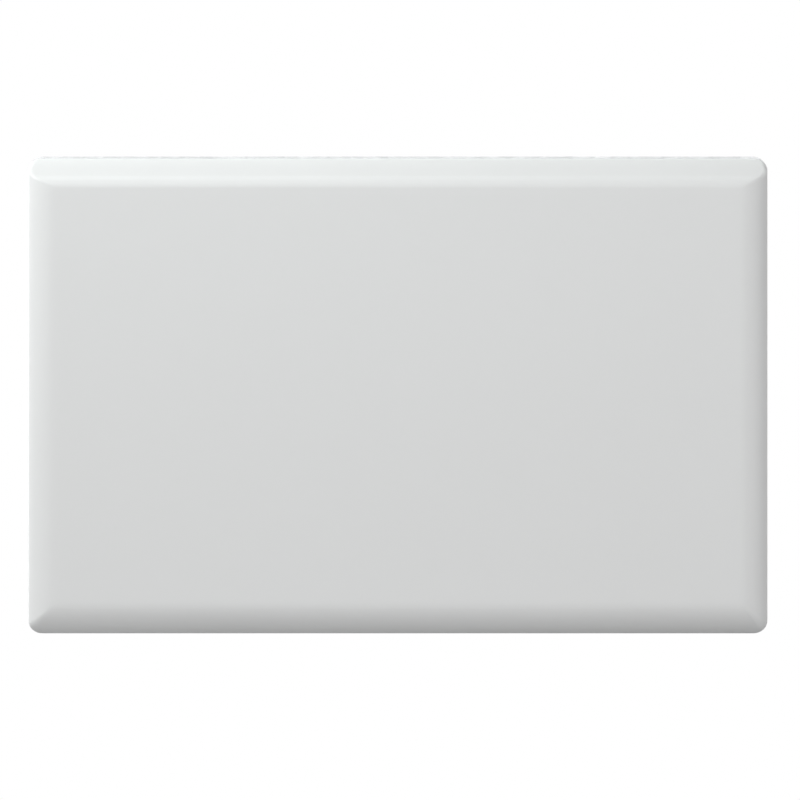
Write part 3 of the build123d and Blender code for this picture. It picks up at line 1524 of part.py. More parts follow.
# Wall bracket: two channels with slots for the wall's screws, open hooks above and a shelf below
seat_radius = pin_radius + running_gap
flange_bottom_z = rail_bottom_z + flange_lift
flange_height = rail_top_z - flange_bottom_z
slot_places = [(0, -slot_z), (0, slot_z)]
lock_y = -lock_from_wall
rail_inner = rail_x_right - rail_width / 2
tab_inner = rail_inner - rail_sheet
crossbar_rivet_y = -(crossbar_tab + rail_sheet) / 2
crossbar_heights = {"upper": crossbar_z, "lower": -crossbar_z}
crossbar_rivet_heights = [
    height + step * crossbar_rivet_spacing / 2
    for height in crossbar_heights.values()
    for step in sides.values()
]
for name, side in sides.items():
    rail_x = side * rail_x_right
    with BuildPart() as rail:
        block(
            (rail_x - rail_width / 2, rail_x + rail_width / 2),
            (-rail_sheet, 0),
            (rail_bottom_z, rail_top_z),
        )
        for step in sides.values():
            with BuildSketch(Plane.YZ.offset(rail_x + step * (rail_width - rail_sheet) / 2)):
                with Locations((-rail_depth / 2, flange_bottom_z + flange_height / 2)):
                    Rectangle(rail_depth, flange_height)
                with Locations((pin_y, pin_z)):
                    Circle(hook_radius)
                    Circle(seat_radius, mode=Mode.SUBTRACT)
                with Locations((pin_y, pin_z + hook_radius / 2)):
                    Rectangle(2 * seat_radius, hook_radius, mode=Mode.SUBTRACT)
            extrude(amount=rail_sheet / 2, both=True)
        block(
            (rail_x - shelf_width / 2, rail_x + shelf_width / 2),
            (-shelf_depth, 0),
            (rail_bottom_z, rail_bottom_z + rail_sheet),
        )
        bar((rail_x, lock_y, rail_bottom_z), (0, 0, 1), lock_pin_radius, rail_sheet, Mode.SUBTRACT)
        with BuildSketch(room_plane(0)):
            with Locations((rail_x, 0)):
                with Locations(*slot_places):
                    SlotOverall(screw_slot_length, screw_slot_width)
        extrude(amount=rail_sheet, mode=Mode.SUBTRACT)
        rail_rivets = [(side * rail_inner, crossbar_rivet_y, z) for z in crossbar_rivet_heights]
        bars(rail_rivets, (side, 0, 0), rivet_radius, rail_sheet, Mode.SUBTRACT)
    rail.part.label = f"rail_{name}"
    export_step(rail.part, f"parts/rail_{name}.step")

# Crossbars between the rails, with a bent tab riveted to each rail's flange
for name, height in crossbar_heights.items():
    heights = (height - crossbar_height / 2, height + crossbar_height / 2)
    with BuildPart() as crossbar:
        block((-rail_inner, rail_inner), (-rail_sheet, 0), heights)
        for side in sides.values():
            block((side * tab_inner, side * rail_inner), (-crossbar_tab, 0), heights)
            tab_rivets = [
                (side * tab_inner, crossbar_rivet_y, height + step * crossbar_rivet_spacing / 2)
                for step in sides.values()
            ]
            bars(tab_rivets, (side, 0, 0), rivet_radius, rail_sheet, Mode.SUBTRACT)
    crossbar.part.label = f"crossbar_{name}"
    export_step(crossbar.part, f"parts/crossbar_{name}.step")

crossbar_rivet = rivet(2 * rail_sheet)
with BuildPart() as crossbar_rivets:
    for side in sides.values():
        tab_rivets = [(side * tab_inner, crossbar_rivet_y, z) for z in crossbar_rivet_heights]
        with Locations(*aimed(tab_rivets, (side, 0, 0))):
            add(crossbar_rivet)

crossbar_rivets.part.label = "crossbar_rivets"
export_step(crossbar_rivets.part, "parts/crossbar_rivets.step")

# Turn locks under the rails' shelves: a fluted knob with an arm, whose nose catches the keeper
lock_top = rail_bottom_z - fit_gap
plate_under = lock_top - lock_plate
lock_bottom = plate_under - lock_knob_height
recess_top = lock_bottom + lock_recess
for name, side in sides.items():
    lock_x = side * rail_x_right
    nose_x = lock_x + side * lock_reach
    with BuildPart() as lock:
        with BuildSketch(Plane.XY.offset(lock_top)):
            with Locations((lock_x, lock_y)):
                Circle(lock_knob_radius)
            with Locations(((lock_x + nose_x) / 2, lock_y)):
                Rectangle(lock_reach, lock_arm_width)
            with Locations((nose_x, lock_y)):
                Circle(lock_arm_width / 2)
        extrude(amount=-lock_plate)
        with BuildSketch(Plane.XY.offset(plate_under)):
            with Locations((lock_x, lock_y)):
                Circle(lock_knob_radius)
                with PolarLocations(lock_knob_radius, lock_flutes):
                    Circle(lock_flute_radius, mode=Mode.SUBTRACT)
        extrude(amount=-lock_knob_height)
        bar((nose_x, lock_y, lock_top), (0, 0, -1), lock_nose_radius, lock_nose_drop)
        bore = lock_pin_radius + running_gap
        bar((lock_x, lock_y, lock_top), (0, 0, -1), bore, lock_top - lock_bottom, Mode.SUBTRACT)
        recess = lock_head_radius + fit_gap
        bar((lock_x, lock_y, recess_top), (0, 0, -1), recess, lock_recess, Mode.SUBTRACT)
    lock.part.label = f"lock_{name}"
    export_step(lock.part, f"parts/lock_{name}.step")

pivot_top = rail_bottom_z + rail_sheet
pivot_end = recess_top - fit_gap
with BuildPart() as lock_pivots:
    for lock_x in rail_places:
        bar((lock_x, lock_y, pivot_top), (0, 0, 1), lock_head_radius, lock_head)
        bar((lock_x, lock_y, pivot_top), (0, 0, -1), lock_pin_radius, pivot_top - pivot_end)
        bar((lock_x, lock_y, pivot_end), (0, 0, -1), lock_head_radius, lock_head)

lock_pivots.part.label = "lock_pivots"
export_step(lock_pivots.part, "parts/lock_pivots.step")
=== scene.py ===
"""Looks of a wall-mounted electric panel heater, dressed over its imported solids.

Metres. X runs along the width, Y from the room to the wall, Z up, and the wall is the plane y = 0.
"""

import json
import math

import bmesh
import bpy
import numpy as np
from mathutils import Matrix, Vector

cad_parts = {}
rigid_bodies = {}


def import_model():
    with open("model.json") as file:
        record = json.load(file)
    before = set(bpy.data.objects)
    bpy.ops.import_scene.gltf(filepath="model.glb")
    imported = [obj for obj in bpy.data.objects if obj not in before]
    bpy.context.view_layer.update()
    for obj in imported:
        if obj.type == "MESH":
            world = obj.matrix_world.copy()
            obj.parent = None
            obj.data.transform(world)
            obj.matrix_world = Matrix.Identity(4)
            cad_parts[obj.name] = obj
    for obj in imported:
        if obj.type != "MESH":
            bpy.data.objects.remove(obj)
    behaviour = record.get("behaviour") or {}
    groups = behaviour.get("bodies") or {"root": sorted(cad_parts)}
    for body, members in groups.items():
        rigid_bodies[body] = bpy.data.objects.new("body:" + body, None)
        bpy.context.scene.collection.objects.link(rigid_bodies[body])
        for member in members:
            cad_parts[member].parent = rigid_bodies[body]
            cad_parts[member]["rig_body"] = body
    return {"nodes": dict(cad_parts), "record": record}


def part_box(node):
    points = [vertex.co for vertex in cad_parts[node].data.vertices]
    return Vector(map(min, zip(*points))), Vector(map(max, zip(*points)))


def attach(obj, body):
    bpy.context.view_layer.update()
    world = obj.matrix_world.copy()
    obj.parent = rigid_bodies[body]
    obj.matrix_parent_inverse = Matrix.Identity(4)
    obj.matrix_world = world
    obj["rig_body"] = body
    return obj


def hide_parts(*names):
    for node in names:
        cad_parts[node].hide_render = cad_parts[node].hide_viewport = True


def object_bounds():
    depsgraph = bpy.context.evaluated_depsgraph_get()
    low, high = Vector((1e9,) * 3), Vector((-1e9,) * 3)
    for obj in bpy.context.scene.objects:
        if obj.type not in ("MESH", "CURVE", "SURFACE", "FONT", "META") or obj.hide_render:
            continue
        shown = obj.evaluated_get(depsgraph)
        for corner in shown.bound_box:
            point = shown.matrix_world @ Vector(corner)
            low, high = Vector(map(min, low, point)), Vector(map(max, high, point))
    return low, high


bl_info = {
    "name": "Panel heater",
    "version": (1, 0, 0),
    "blender": (4, 5, 0),
    "location": "View3D > Sidebar > Heater",
    "description": "Dresses a wall-mounted panel heater's solids",
    "category": "Object",
}

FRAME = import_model()
CAD_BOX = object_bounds()
COVER_LOW, COVER_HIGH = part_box("front_cover")
WHEEL_LOW, WHEEL_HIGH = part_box("thermostat_wheel")
ROCKER_LOW, ROCKER_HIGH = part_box("switch_rocker")
TRAY_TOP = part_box("control_fascia")[1].z
FINISHES = {}
WHITE = (1.0, 1.0, 1.0, 1.0)

# The part of a noise's range that most of its values lie in
MIDDLE = (0.3, 0.7)

# The cover: the depth at which the slots' faces begin below, the rings on the flat front, the band's hollow
# at the brow and the corners' lost radius at the lips as shares, and how finely its lines are cut
FOOT_FACE_FROM = 0.0175
FRONT_INSETS = (0.006, 0.0015)
BROW_SHARE, LIP_SHARE = 1.7, 0.5
CREASE_STEPS, CROWN_STEPS, BROW_STEPS = 14, 22, 8
ROLL_STEPS, HEM_STEPS, LIP_STEPS = 12, 7, 5
SLOT_STEPS, WINDOW_STEPS, CORNER_STEPS, SIDE_STEPS = 5, 4, 10, 14
MARGIN_POINTS, WINDOW_POINTS = 4, 7
WINDOW_CORNER = 0.0015
TOP_PART, FOOT_PART = 0, 4

# The bracket's folded sheet, and the share of the outer fold that the inner one has
FOLDED_SHEET, INNER_FOLD = 0.0015, 0.35
FOLD_STEPS, NORMALS_WEIGHT = 4, 60

# How close counts as on a plane, upright, flat or the same place
NEAR, UPRIGHT, FLAT, EASED_ANGLE = 1e-4, 1e-5, math.radians(0.4), math.radians(30.0)
SAME_MARK_POINT, SAME_POINT, SAME_SKIN_POINT, SAME_LINE, ROUNDING = 1e-7, 1e-6, 2e-6, 2e-5, 1e-9

# The controls: the rocker's pivot, the marks' sizes and the wheel's fine shape
ROCKER_PIVOT_Z = ROCKER_LOW.z + 0.0082
NUMBERS = 9
NUMBER_TURN = math.radians(270)
NUMBER_HEIGHT, NUMBER_THICKNESS = 0.0029, 0.00012
SIGN_HEIGHT, SIGN_THICKNESS, SIGN_RUN = 0.0036, 0.0001, 0.0038
POINTER_LENGTH, POINTER_HALF_WIDTH, POINTER_HALF_THICKNESS = 0.0021, 0.0011, 0.00005
POINTS_PER_TOOTH = 8
KNURL_FADE = 1.6
STEP_WIDE, STEP_STEEP = 0.0003, 0.0001
LEAST_COSINE = 1e-3

# The stage: the floor, and where the photographed outline's middle lies in its picture
FLOOR_REACH, FLOOR_HEIGHT = 6.0, -0.5
FLOOR_GREY, FLOOR_ROUGHNESS, FLOOR_GLOW = 0.3, 0.9, 0.6
PICTURE_SIZE = 800
OUTLINE_MIDDLE = (397.86, 394.9)
CAMERA_AWAY = 2.0


def middle(low, high):
    """The middle of a box, on each axis."""
    return [(a + b) / 2 for a, b in zip(low, high)]


def length(name, text, value):
    """A size in metres that a user may change."""
    return bpy.props.FloatProperty(
        name=name, description=text, default=value, subtype="DISTANCE", unit="LENGTH"
    )


def angle(name, text, degrees):
    """An angle that a user may change."""
    value = math.radians(degrees)
    return bpy.props.FloatProperty(name=name, description=text, default=value, subtype="ANGLE")


def colour(name, text, value):
    """A colour that a user may change."""
    return bpy.props.FloatVectorProperty(
        name=name, description=text, default=value, size=3, min=0.0, max=1.0, subtype="COLOR"
    )


def amount(name, text, value):
    """A plain number that a user may change."""
    return bpy.props.FloatProperty(name=name, description=text, default=value)


class HEATER_PG_cover(bpy.types.PropertyGroup):
    """Sizes of the pressed front cover."""

    sheet: length("Sheet", "Thickness of the cover's sheet", 0.001)
    crown_height: length("Crown height", "Height of the bevelled band along the top", 0.0252)
    crown_angle: angle("Crown angle", "Tilt of the bevelled band from the vertical", 48.0)
    crown_hollow: angle("Crown hollow", "How much the bevelled band's tilt wanders along its height", 5.0)
    crease_radius: length("Crease radius", "Bend between the face and the bevelled band", 0.010)
    brow_radius: length("Brow radius", "Bend between the bevelled band and the top", 0.008)
    side_roll: length("Side roll", "Width of the rolled edge at each side", 0.022)
    foot_roll: length("Foot roll", "Height of the rolled edge at the bottom", 0.0252)
    roll_angle: angle("Roll angle", "Turn of the wide part of each rolled edge", 55.0)
    hem_radius: length("Hem radius", "Tight bend at the end of each rolled edge", 0.004)
    mitre_radius: length("Mitre radius", "Softness of the corner ridges beside the face", 0.002)
    upper_growth: amount("Upper growth", "Power by which the upper ridges soften with the depth", 2.2)
    lower_growth: amount("Lower growth", "Power by which the lower ridges soften with the depth", 1.3)
    corner_radius: length("Corner radius", "Outline's corner radius in the front view", 0.012)
    lip_width: length("Lip width", "Width of the folded lip at the back", 0.014)
    lip_bend: length("Lip bend", "Outside radius of the lip's fold", 0.0016)
    slot_pitch: length("Slot pitch", "Distance from one air slot to the next", 0.009)
    slot_width: length("Slot width", "Width of an air slot", 0.005)
    outlet_length: length("Outlet slot", "Length of a slot in the top", 0.019)
    inlet_length: length("Inlet slot", "Length of a slot in the bottom", 0.025)
    window_length: length("Window length", "Length of the opening over the controls", 0.066)
    window_depth: length("Window depth", "Depth of the opening over the controls", 0.020)
    window_margin: length("Window margin", "From the cover's right side to the opening", 0.015)


class HEATER_PG_controls(bpy.types.PropertyGroup):
    """Sizes of the wheel, the rocker's signs and the tray."""

    wheel_teeth: bpy.props.IntProperty(name="Wheel teeth", description="Grooves round the rim", default=48)
    wheel_knurl: length("Knurl depth", "Depth of the wheel's grooves", 0.00045)
    wheel_band: length("Number band", "Width of the plain band that carries the numbers", 0.0034)
    wheel_sink: length("Band sink", "Depth of the number band below the knurled rims", 0.0003)
    wheel_soft: length("Wheel rounding", "Rounding of the wheel's edges", 0.0004)
    wheel_rim: length("Wheel rim", "Thickness of the rim", 0.0035)
    wheel_web: length("Wheel web", "Thickness of the web between hub and rim", 0.003)
    wheel_hub: length("Wheel hub", "Radius of the hub", 0.006)
    wheel_bore: length("Wheel bore", "Radius of the bore for the shaft", 0.003)
    wheel_flat: length("Bore flat", "Distance of the bore's flat from the axis", 0.002)
    rocker_ridge: length("Rocker ridge", "Offset of the ridge between the rocker's halves", 0.000295)
    rocker_rise: length("Rocker rise", "Height of the level half over the pivot", 0.0024)
    rocker_tilt: angle("Rocker tilt", "Half of the rocker's travel", 7.0)
    pointer_gap: length("Pointer gap", "From the wheel's front to the pointer's tip", 0.0014)
    tray_recess: length("Tray recess", "Depth of the tray's floor under its rim", 0.004)


class HEATER_PG_paint(bpy.types.PropertyGroup):
    """Colours of the finishes."""

    coat: colour("Powder coat", "White powder coat of the cover", (0.80, 0.80, 0.80))
    zinc: colour("Zinc", "Bright zinc plating", (0.50, 0.51, 0.53))
    galvanised: colour("Galvanised", "Hot-dipped zinc", (0.535, 0.541, 0.548))
    grey_plastic: colour("Grey plastic", "Control tray, housing and locks", (0.33, 0.335, 0.345))
    white_plastic: colour("White plastic", "Wheel, switch and connection box", (0.76, 0.76, 0.745))


class HEATER_PG_light(bpy.types.PropertyGroup):
    """Lights and camera."""

    world: amount("World", "Strength of the even light from all round", 0.156)
    left: amount("Left light", "Watts of the large light far to the left", 116.0)
    right: amount("Right light", "Watts of the light in front to the right", 76.0)
    fill: amount("Front light", "Watts of the large light far in front", 49.0)
    key: amount("Key light", "Watts of the light at the upper left", 14.7)
    near: amount("Near light", "Watts of the light over the front", 2.38)
    rear: amount("Rear light", "Watts of the long light over the wall's side", 5.3)
    back: amount("Back light", "Watts of the large light on the wall's side", 260.0)
    cool: colour("Cool tint", "Colour of the lights over the front and the wall's side", (0.92, 1.0, 0.98))
    pale: colour("Pale tint", "Colour of the light at the upper left", (0.97, 1.0, 0.993))
    view_width: length("View width", "Width that the camera sees", 0.6711)


def bend(radius, start, end, steps):
    """Steps in depth and rise of an arc that turns its tangent from one tilt to another."""
    tilt = np.linspace(start, end, steps + 1)
    return np.stack([radius * (np.cos(start) - np.cos(tilt)), radius * (np.sin(tilt) - np.sin(start))], 1)


def hollowed(rise, tilt, crest, steps):
    """Steps of the bevelled band, which is all but straight. Its tilt is more by the crest's share at the
    crest, drops under the mean within a quarter of the way, and grows again as the square of the way to the
    brow. The steps are scaled to the whole rise."""
    way = (np.arange(steps) + 0.5) / steps
    drop_from, drop_to = 0.10, 0.24
    drop = np.clip((way - drop_from) / (drop_to - drop_from), 0.0, 1.0)
    swell = np.clip((way - drop_to) / (1.0 - drop_to), 0.0, 1.0)
    dropped, swollen = 2.2, 2.9
    local = tilt + crest * (1.0 - dropped * drop**2 * (3 - 2 * drop) + swollen * swell**2)
    walk = np.cumsum(np.stack([np.sin(local), np.cos(local)], 1), 0)
    return np.concatenate([[[0.0, 0.0]], walk * rise / walk[-1, 1]])


def section(*parts):
    """Joins parts end to end into depth and inset, the inset falling to nothing at the outline."""
    points = [np.zeros((1, 2))]
    for part in parts:
        points.append(part[1:] + points[-1][-1])
    line = np.concatenate(points)
    return line[:, 0], line[-1, 1] - line[:, 1]


def lined(*values):
    """Joins arrays and numbers into one rising array without repeats."""
    joined = np.sort(np.concatenate([np.atleast_1d(np.asarray(v, float)) for v in values]))
    return joined[np.concatenate([[True], np.diff(joined) > SAME_LINE])]


def slot_outline(half_width, half_length, steps):
    """Left half of a slot's outline from its far tip to its near tip: two quarter turns of half_width
    round centres that lie half_length - half_width from the middle, with the straight side between."""
    turn = np.linspace(0.0, math.pi / 2, steps + 1)
    reach = half_length - half_width
    far = np.stack([-half_width * np.sin(turn), reach + half_width * np.cos(turn)], 1)
    near = np.stack([-half_width * np.cos(turn), -reach - half_width * np.sin(turn)], 1)
    return np.concatenate([far, near])


def window_outline(half_x, half_y, radius, steps):
    """Left half of a rounded rectangle's outline, from its far side's middle to its near side's."""
    turn = np.linspace(0.0, math.pi / 2, steps + 1)
    far = np.stack([-half_x + radius - radius * np.sin(turn), half_y - radius + radius * np.cos(turn)], 1)
    near = np.stack([-half_x + radius - radius * np.cos(turn), -half_y + radius - radius * np.sin(turn)], 1)
    return np.concatenate([[[0.0, half_y]], far, near, [[0.0, -half_y]]])


def tile_halves(line, centre, sides, hole, hole_y):
    """Two flat faces round a hole, as points in x and y: from the middle of the near border round the outer
    border to the middle of the far one, and back along the hole's outline. The line gives the borders' points
    in x, and the sides give them in y."""
    hole = hole + [centre, hole_y]
    halves = []
    for edge, sign in ((line[0], 1), (line[-1], -1)):
        outward = line[(line - centre) * sign <= ROUNDING]
        inward = outward[np.argsort(outward * sign)]
        near = np.stack([inward[::-1], np.full(len(inward), sides[0])], 1)
        side = np.stack([np.full(len(sides) - 2, edge), sides[1:-1]], 1)
        far = np.stack([inward, np.full(len(inward), sides[-1])], 1)
        outline = hole if sign > 0 else (hole - [centre, 0]) * [-1, 1] + [centre, 0]
        loop = np.concatenate([near, side, far, outline])
        halves.append(loop if sign > 0 else loop[::-1])
    return halves


def roll_radius(size, width):
    """Radius of a rolled edge's wide part, which with the hem takes up the whole width."""
    return (width - size.hem_radius * (1 - math.sin(size.roll_angle))) / math.sin(size.roll_angle)


def cover_grid(size):
    """The cover's outer skin as rings, one at each depth. A ring is a rounded rectangle with its own inset
    at the sides, top and bottom. Its corner radii grow with a power of the depth from the mitres to the
    outline's corners, which the lower corners reach where the foot's roll ends and the upper ones where the
    brow does."""
    crest_angle = size.crown_angle + size.crown_hollow
    brow_angle = size.crown_angle + BROW_SHARE * size.crown_hollow
    crease = bend(size.crease_radius, 0.0, crest_angle, CREASE_STEPS)
    brow = bend(size.brow_radius, brow_angle, math.pi / 2, BROW_STEPS)
    rise = size.crown_height - crease[-1, 1] - brow[-1, 1]
    crown = section(crease, hollowed(rise, size.crown_angle, size.crown_hollow, CROWN_STEPS), brow)
    hem = bend(size.hem_radius, size.roll_angle, math.pi / 2, HEM_STEPS)
    side, foot = (
        section(bend(roll_radius(size, width), 0.0, size.roll_angle, ROLL_STEPS), hem)
        for width in (size.side_roll, size.foot_roll)
    )
    depth_end = COVER_HIGH.y - COVER_LOW.y
    brow_depth = crown[0][-1]
    turn = np.linspace(0.0, math.pi / 2, LIP_STEPS + 1)
    lip_depth = depth_end - size.lip_bend * (1 - np.sin(turn))
    lip_inset = size.lip_bend * (1 - np.cos(turn))
    front = lined(crown[0], side[0], foot[0], FOOT_FACE_FROM)
    wall = np.array([lip_depth[0]])
    depth = np.concatenate([[0.0, 0.0], front, wall, lip_depth[1:], [depth_end]])
    extra = np.concatenate(
        [FRONT_INSETS, np.zeros(len(front) + 1), lip_inset[1:], [size.lip_width + size.sheet]]
    )
    insets = {}
    for name, (d, inset) in {"top": crown, "side": side, "foot": foot}.items():
        insets[name] = np.interp(depth, d, inset, right=0.0) + extra
    radii = []
    lip_radius = size.corner_radius * (1 - LIP_SHARE * extra / extra[-1])
    for full_depth, growth in ((brow_depth, size.upper_growth), (foot[0][-1], size.lower_growth)):
        soft = size.mitre_radius + (size.corner_radius - size.mitre_radius) * (depth / full_depth) ** growth
        radii.append(np.where(depth > full_depth, lip_radius, soft))
    return depth, insets, radii, brow_depth, len(front) + 2


def ring_points(size, x_top, x_foot):
    """Where a ring's points lie, as shares of its straight sides and unit steps round its corners, clockwise
    from the top left as the room sees it."""
    straight_x = (COVER_HIGH.x - COVER_LOW.x) / 2 - size.corner_radius
    turn = np.linspace(0.0, math.pi / 2, CORNER_STEPS + 1)[1:-1]
    up = np.linspace(1.0, -1.0, SIDE_STEPS + 1)
    top, foot = x_top / straight_x, x_foot[::-1] / straight_x

    def edge(*columns):
        return np.stack(np.broadcast_arrays(*(np.atleast_1d(np.asarray(c, float)) for c in columns)), 1)

    parts = [
        edge(top, 1, 0, 1),
        edge(1, 1, np.sin(turn), np.cos(turn)),
        edge(1, up, 1, 0),
        edge(1, -1, np.cos(turn), -np.sin(turn)),
        edge(foot, -1, 0, -1),
        edge(-1, -1, -np.sin(turn), -np.cos(turn)),
        edge(-1, -up, -1, 0),
        edge(-1, 1, -np.cos(turn), np.sin(turn)),
    ]
    starts = np.cumsum([0] + [len(p) for p in parts])
    return np.concatenate(parts), starts


def new_mesh(name, points, faces):
    """A mesh from rows of points and the faces' lists of corners."""
    mesh = bpy.data.meshes.new(name)
    mesh.from_pydata(points, [], faces)
    return mesh


def points_of(mesh):
    """The mesh's points as rows."""
    points = np.empty(len(mesh.vertices) * 3, np.float32)
    mesh.vertices.foreach_get("co", points)
    return points.reshape(-1, 3)


def new_object(name, mesh, body, slot):
    """A piece with that mesh, riding on a body and taking its finish from a slot."""
    piece = bpy.data.objects.new(name, mesh)
    bpy.context.scene.collection.objects.link(piece)
    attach(piece, body)
    mesh.materials.append(FINISHES[slot])
    return piece


def baked(piece):
    """The piece's mesh with its modifiers worked in."""
    graph = bpy.context.evaluated_depsgraph_get()
    mesh = bpy.data.meshes.new_from_object(piece.evaluated_get(graph), depsgraph=graph)
    old = piece.data
    piece.modifiers.clear()
    piece.data = mesh
    bpy.data.meshes.remove(old)
    return mesh


def smooth(mesh, degrees):
    """Smooth shading, split at edges that turn by more than the angle."""
    mesh.polygons.foreach_set("use_smooth", np.ones(len(mesh.polygons), bool))
    mesh.set_sharp_from_angle(angle=math.radians(degrees))
    mesh.update()


def reworked(mesh, *steps):
    """Takes the mesh through the bmesh steps, each a function of the open mesh."""
    work = bmesh.new()
    work.from_mesh(mesh)
    for step in steps:
        step(work)
    work.to_mesh(mesh)
    work.free()


def merged(gap):
    """A step that merges the points closer than the gap."""
    return lambda work: bmesh.ops.remove_doubles(work, verts=work.verts, dist=gap)


def opening_places(size):
    """Where the outlets, the inlets and the window lie along the width. The inlets fill the underside, and
    the outlets the top up to the window, each row in the middle of its room."""
    half_x = (COVER_HIGH.x - COVER_LOW.x) / 2
    pitch = size.slot_pitch
    edge_x = half_x - size.corner_radius - size.lip_width
    window_x = half_x - size.window_margin - size.window_length / 2
    outlet_end = window_x - size.window_length / 2 - pitch
    outlets = int((outlet_end + edge_x) // pitch)
    outlet_x = (outlet_end - edge_x) / 2 + (np.arange(outlets) - (outlets - 1) / 2) * pitch
    inlets = int(2 * edge_x // pitch)
    return outlet_x, (np.arange(inlets) - (inlets - 1) / 2) * pitch, window_x


def pressed_cover(size):
    """The cover: rings of quads, one face for the front, and flat faces round each slot and the window."""
    depth, insets, radii, brow_depth, wall_index = cover_grid(size)
    half_x = (COVER_HIGH.x - COVER_LOW.x) / 2
    straight_x = half_x - size.corner_radius
    half_pitch = size.slot_pitch / 2
    outlet_x, inlet_x, window_x = opening_places(size)
    outlet_from, outlet_to = outlet_x[0] - half_pitch, outlet_x[-1] + half_pitch
    inlet_from, inlet_to = inlet_x[0] - half_pitch, inlet_x[-1] + half_pitch
    window_from = outlet_x[-1] + size.slot_pitch
    x_top = lined(
        np.linspace(-straight_x, outlet_from, MARGIN_POINTS),
        np.linspace(outlet_from, outlet_to, 2 * len(outlet_x) + 1),
        np.linspace(window_from, window_x, WINDOW_POINTS),
        np.linspace(window_x, straight_x, WINDOW_POINTS),
    )
    x_foot = lined(
        np.linspace(-straight_x, inlet_from, MARGIN_POINTS),
        np.linspace(inlet_from, inlet_to, 2 * len(inlet_x) + 1),
        np.linspace(inlet_to, straight_x, MARGIN_POINTS),
    )
    unit, starts = ring_points(size, x_top, x_foot)
    middle_z = (COVER_HIGH.z - insets["top"] + COVER_LOW.z + insets["foot"]) / 2
    half_z = (COVER_HIGH.z - insets["top"] - COVER_LOW.z - insets["foot"]) / 2
    radius = np.where(unit[:, 1] > 0, radii[0][:, None], radii[1][:, None])
    x = ((half_x - insets["side"])[:, None] - radius) * unit[:, 0] + radius * unit[:, 2]
    z = middle_z[:, None] + (half_z[:, None] - radius) * unit[:, 1] + radius * unit[:, 3]
    y = np.broadcast_to((COVER_LOW.y + depth)[:, None], x.shape)
    rings, around = x.shape
    points = [np.stack([x, y, z], -1).reshape(-1, 3)]
    index = np.arange(rings * around).reshape(rings, around)
    after = np.roll(index, -1, 1)
    quads = np.stack([index[:-1], after[:-1], after[1:], index[1:]], -1)
    keep = np.ones(quads.shape[:2], bool)
    ring_y = COVER_LOW.y + depth
    brow_ring = int(np.argmin(abs(depth[:wall_index] - brow_depth)))
    foot_ring = int(np.argmin(abs(depth[:wall_index] - FOOT_FACE_FROM)))

    def clear(first_ring, part, low, high):
        edge = np.arange(starts[part], starts[part + 1] - 1)
        middles = (x[wall_index, edge] + x[wall_index, edge + 1]) / 2
        cut = edge[(middles > low) & (middles < high)]
        keep[first_ring:wall_index, cut[:, None].T] = False

    clear(brow_ring, TOP_PART, outlet_from, outlet_to)
    clear(brow_ring, TOP_PART, window_from, straight_x)
    clear(foot_ring, FOOT_PART, inlet_from, inlet_to)
    faces = [list(index[0][::-1])] + quads[keep].tolist()
    total = rings * around

    def add_tile(loops, height, flip):
        nonlocal total
        for loop in loops:
            points.append(np.column_stack([loop, np.full(len(loop), height)]))
            order = np.arange(total, total + len(loop))
            faces.append(list(order if flip else order[::-1]))
            total += len(loop)

    top_sides = ring_y[brow_ring : wall_index + 1]
    foot_sides = ring_y[foot_ring : wall_index + 1]
    lip_front = COVER_HIGH.y - size.sheet
    bay_y = (COVER_LOW.y + brow_depth + lip_front) / 2
    turned = math.cos(size.roll_angle)
    foot_run = roll_radius(size, size.foot_roll) * (1 - turned) + size.hem_radius * turned
    inlet_y = (COVER_LOW.y + foot_run + lip_front) / 2
    outlet = slot_outline(size.slot_width / 2, size.outlet_length / 2, SLOT_STEPS)
    inlet = slot_outline(size.slot_width / 2, size.inlet_length / 2, SLOT_STEPS)
    for centres, sides, hole, hole_y, height, flip in (
        (outlet_x, top_sides, outlet, bay_y, COVER_HIGH.z, False),
        (inlet_x, foot_sides, inlet, inlet_y, COVER_LOW.z, True),
    ):
        for centre in centres:
            line = np.array([centre - half_pitch, centre, centre + half_pitch])
            add_tile(tile_halves(line, centre, sides, hole, hole_y), height, flip)
    line = x_top[x_top > window_from - SAME_POINT]
    window = window_outline(size.window_length / 2, size.window_depth / 2, WINDOW_CORNER, WINDOW_STEPS)
    add_tile(tile_halves(line, window_x, top_sides, window, bay_y), COVER_HIGH.z, False)

    mesh = new_mesh("pressed_cover", np.concatenate(points), faces)
    reworked(mesh, merged(SAME_SKIN_POINT))
    piece = new_object("pressed_cover", mesh, "heater", "powder_white")
    wall = piece.modifiers.new("sheet", "SOLIDIFY")
    wall.thickness, wall.offset, wall.use_even_offset = size.sheet, -1.0, True
    smooth(baked(piece), degrees=32.0)
    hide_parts("front_cover")


def new_group(name, **defaults):
    """A node group with its input and output nodes. It takes a vector and the named defaults, and puts out a
    colour, a roughness and a height."""
    tree = bpy.data.node_groups.new(name, "ShaderNodeTree")
    tree.interface.new_socket(name="Vector", in_out="INPUT", socket_type="NodeSocketVector")
    for label, value in defaults.items():
        kind = {4: "Color", 3: "Vector", 1: "Float"}[np.size(value)]
        socket = tree.interface.new_socket(name=label, in_out="INPUT", socket_type="NodeSocket" + kind)
        socket.default_value = value
    for label, kind in (("Colour", "Color"), ("Roughness", "Float"), ("Height", "Float")):
        tree.interface.new_socket(name=label, in_out="OUTPUT", socket_type="NodeSocket" + kind)
    return tree, tree.nodes.new("NodeGroupInput"), tree.nodes.new("NodeGroupOutput")


def put_out(tree, out, tint, rough, height):
    """Links a group's colour, roughness and height to its output node."""
    tree.links.new(tint, out.inputs["Colour"])
    tree.links.new(rough, out.inputs["Roughness"])
    tree.links.new(height, out.inputs["Height"])


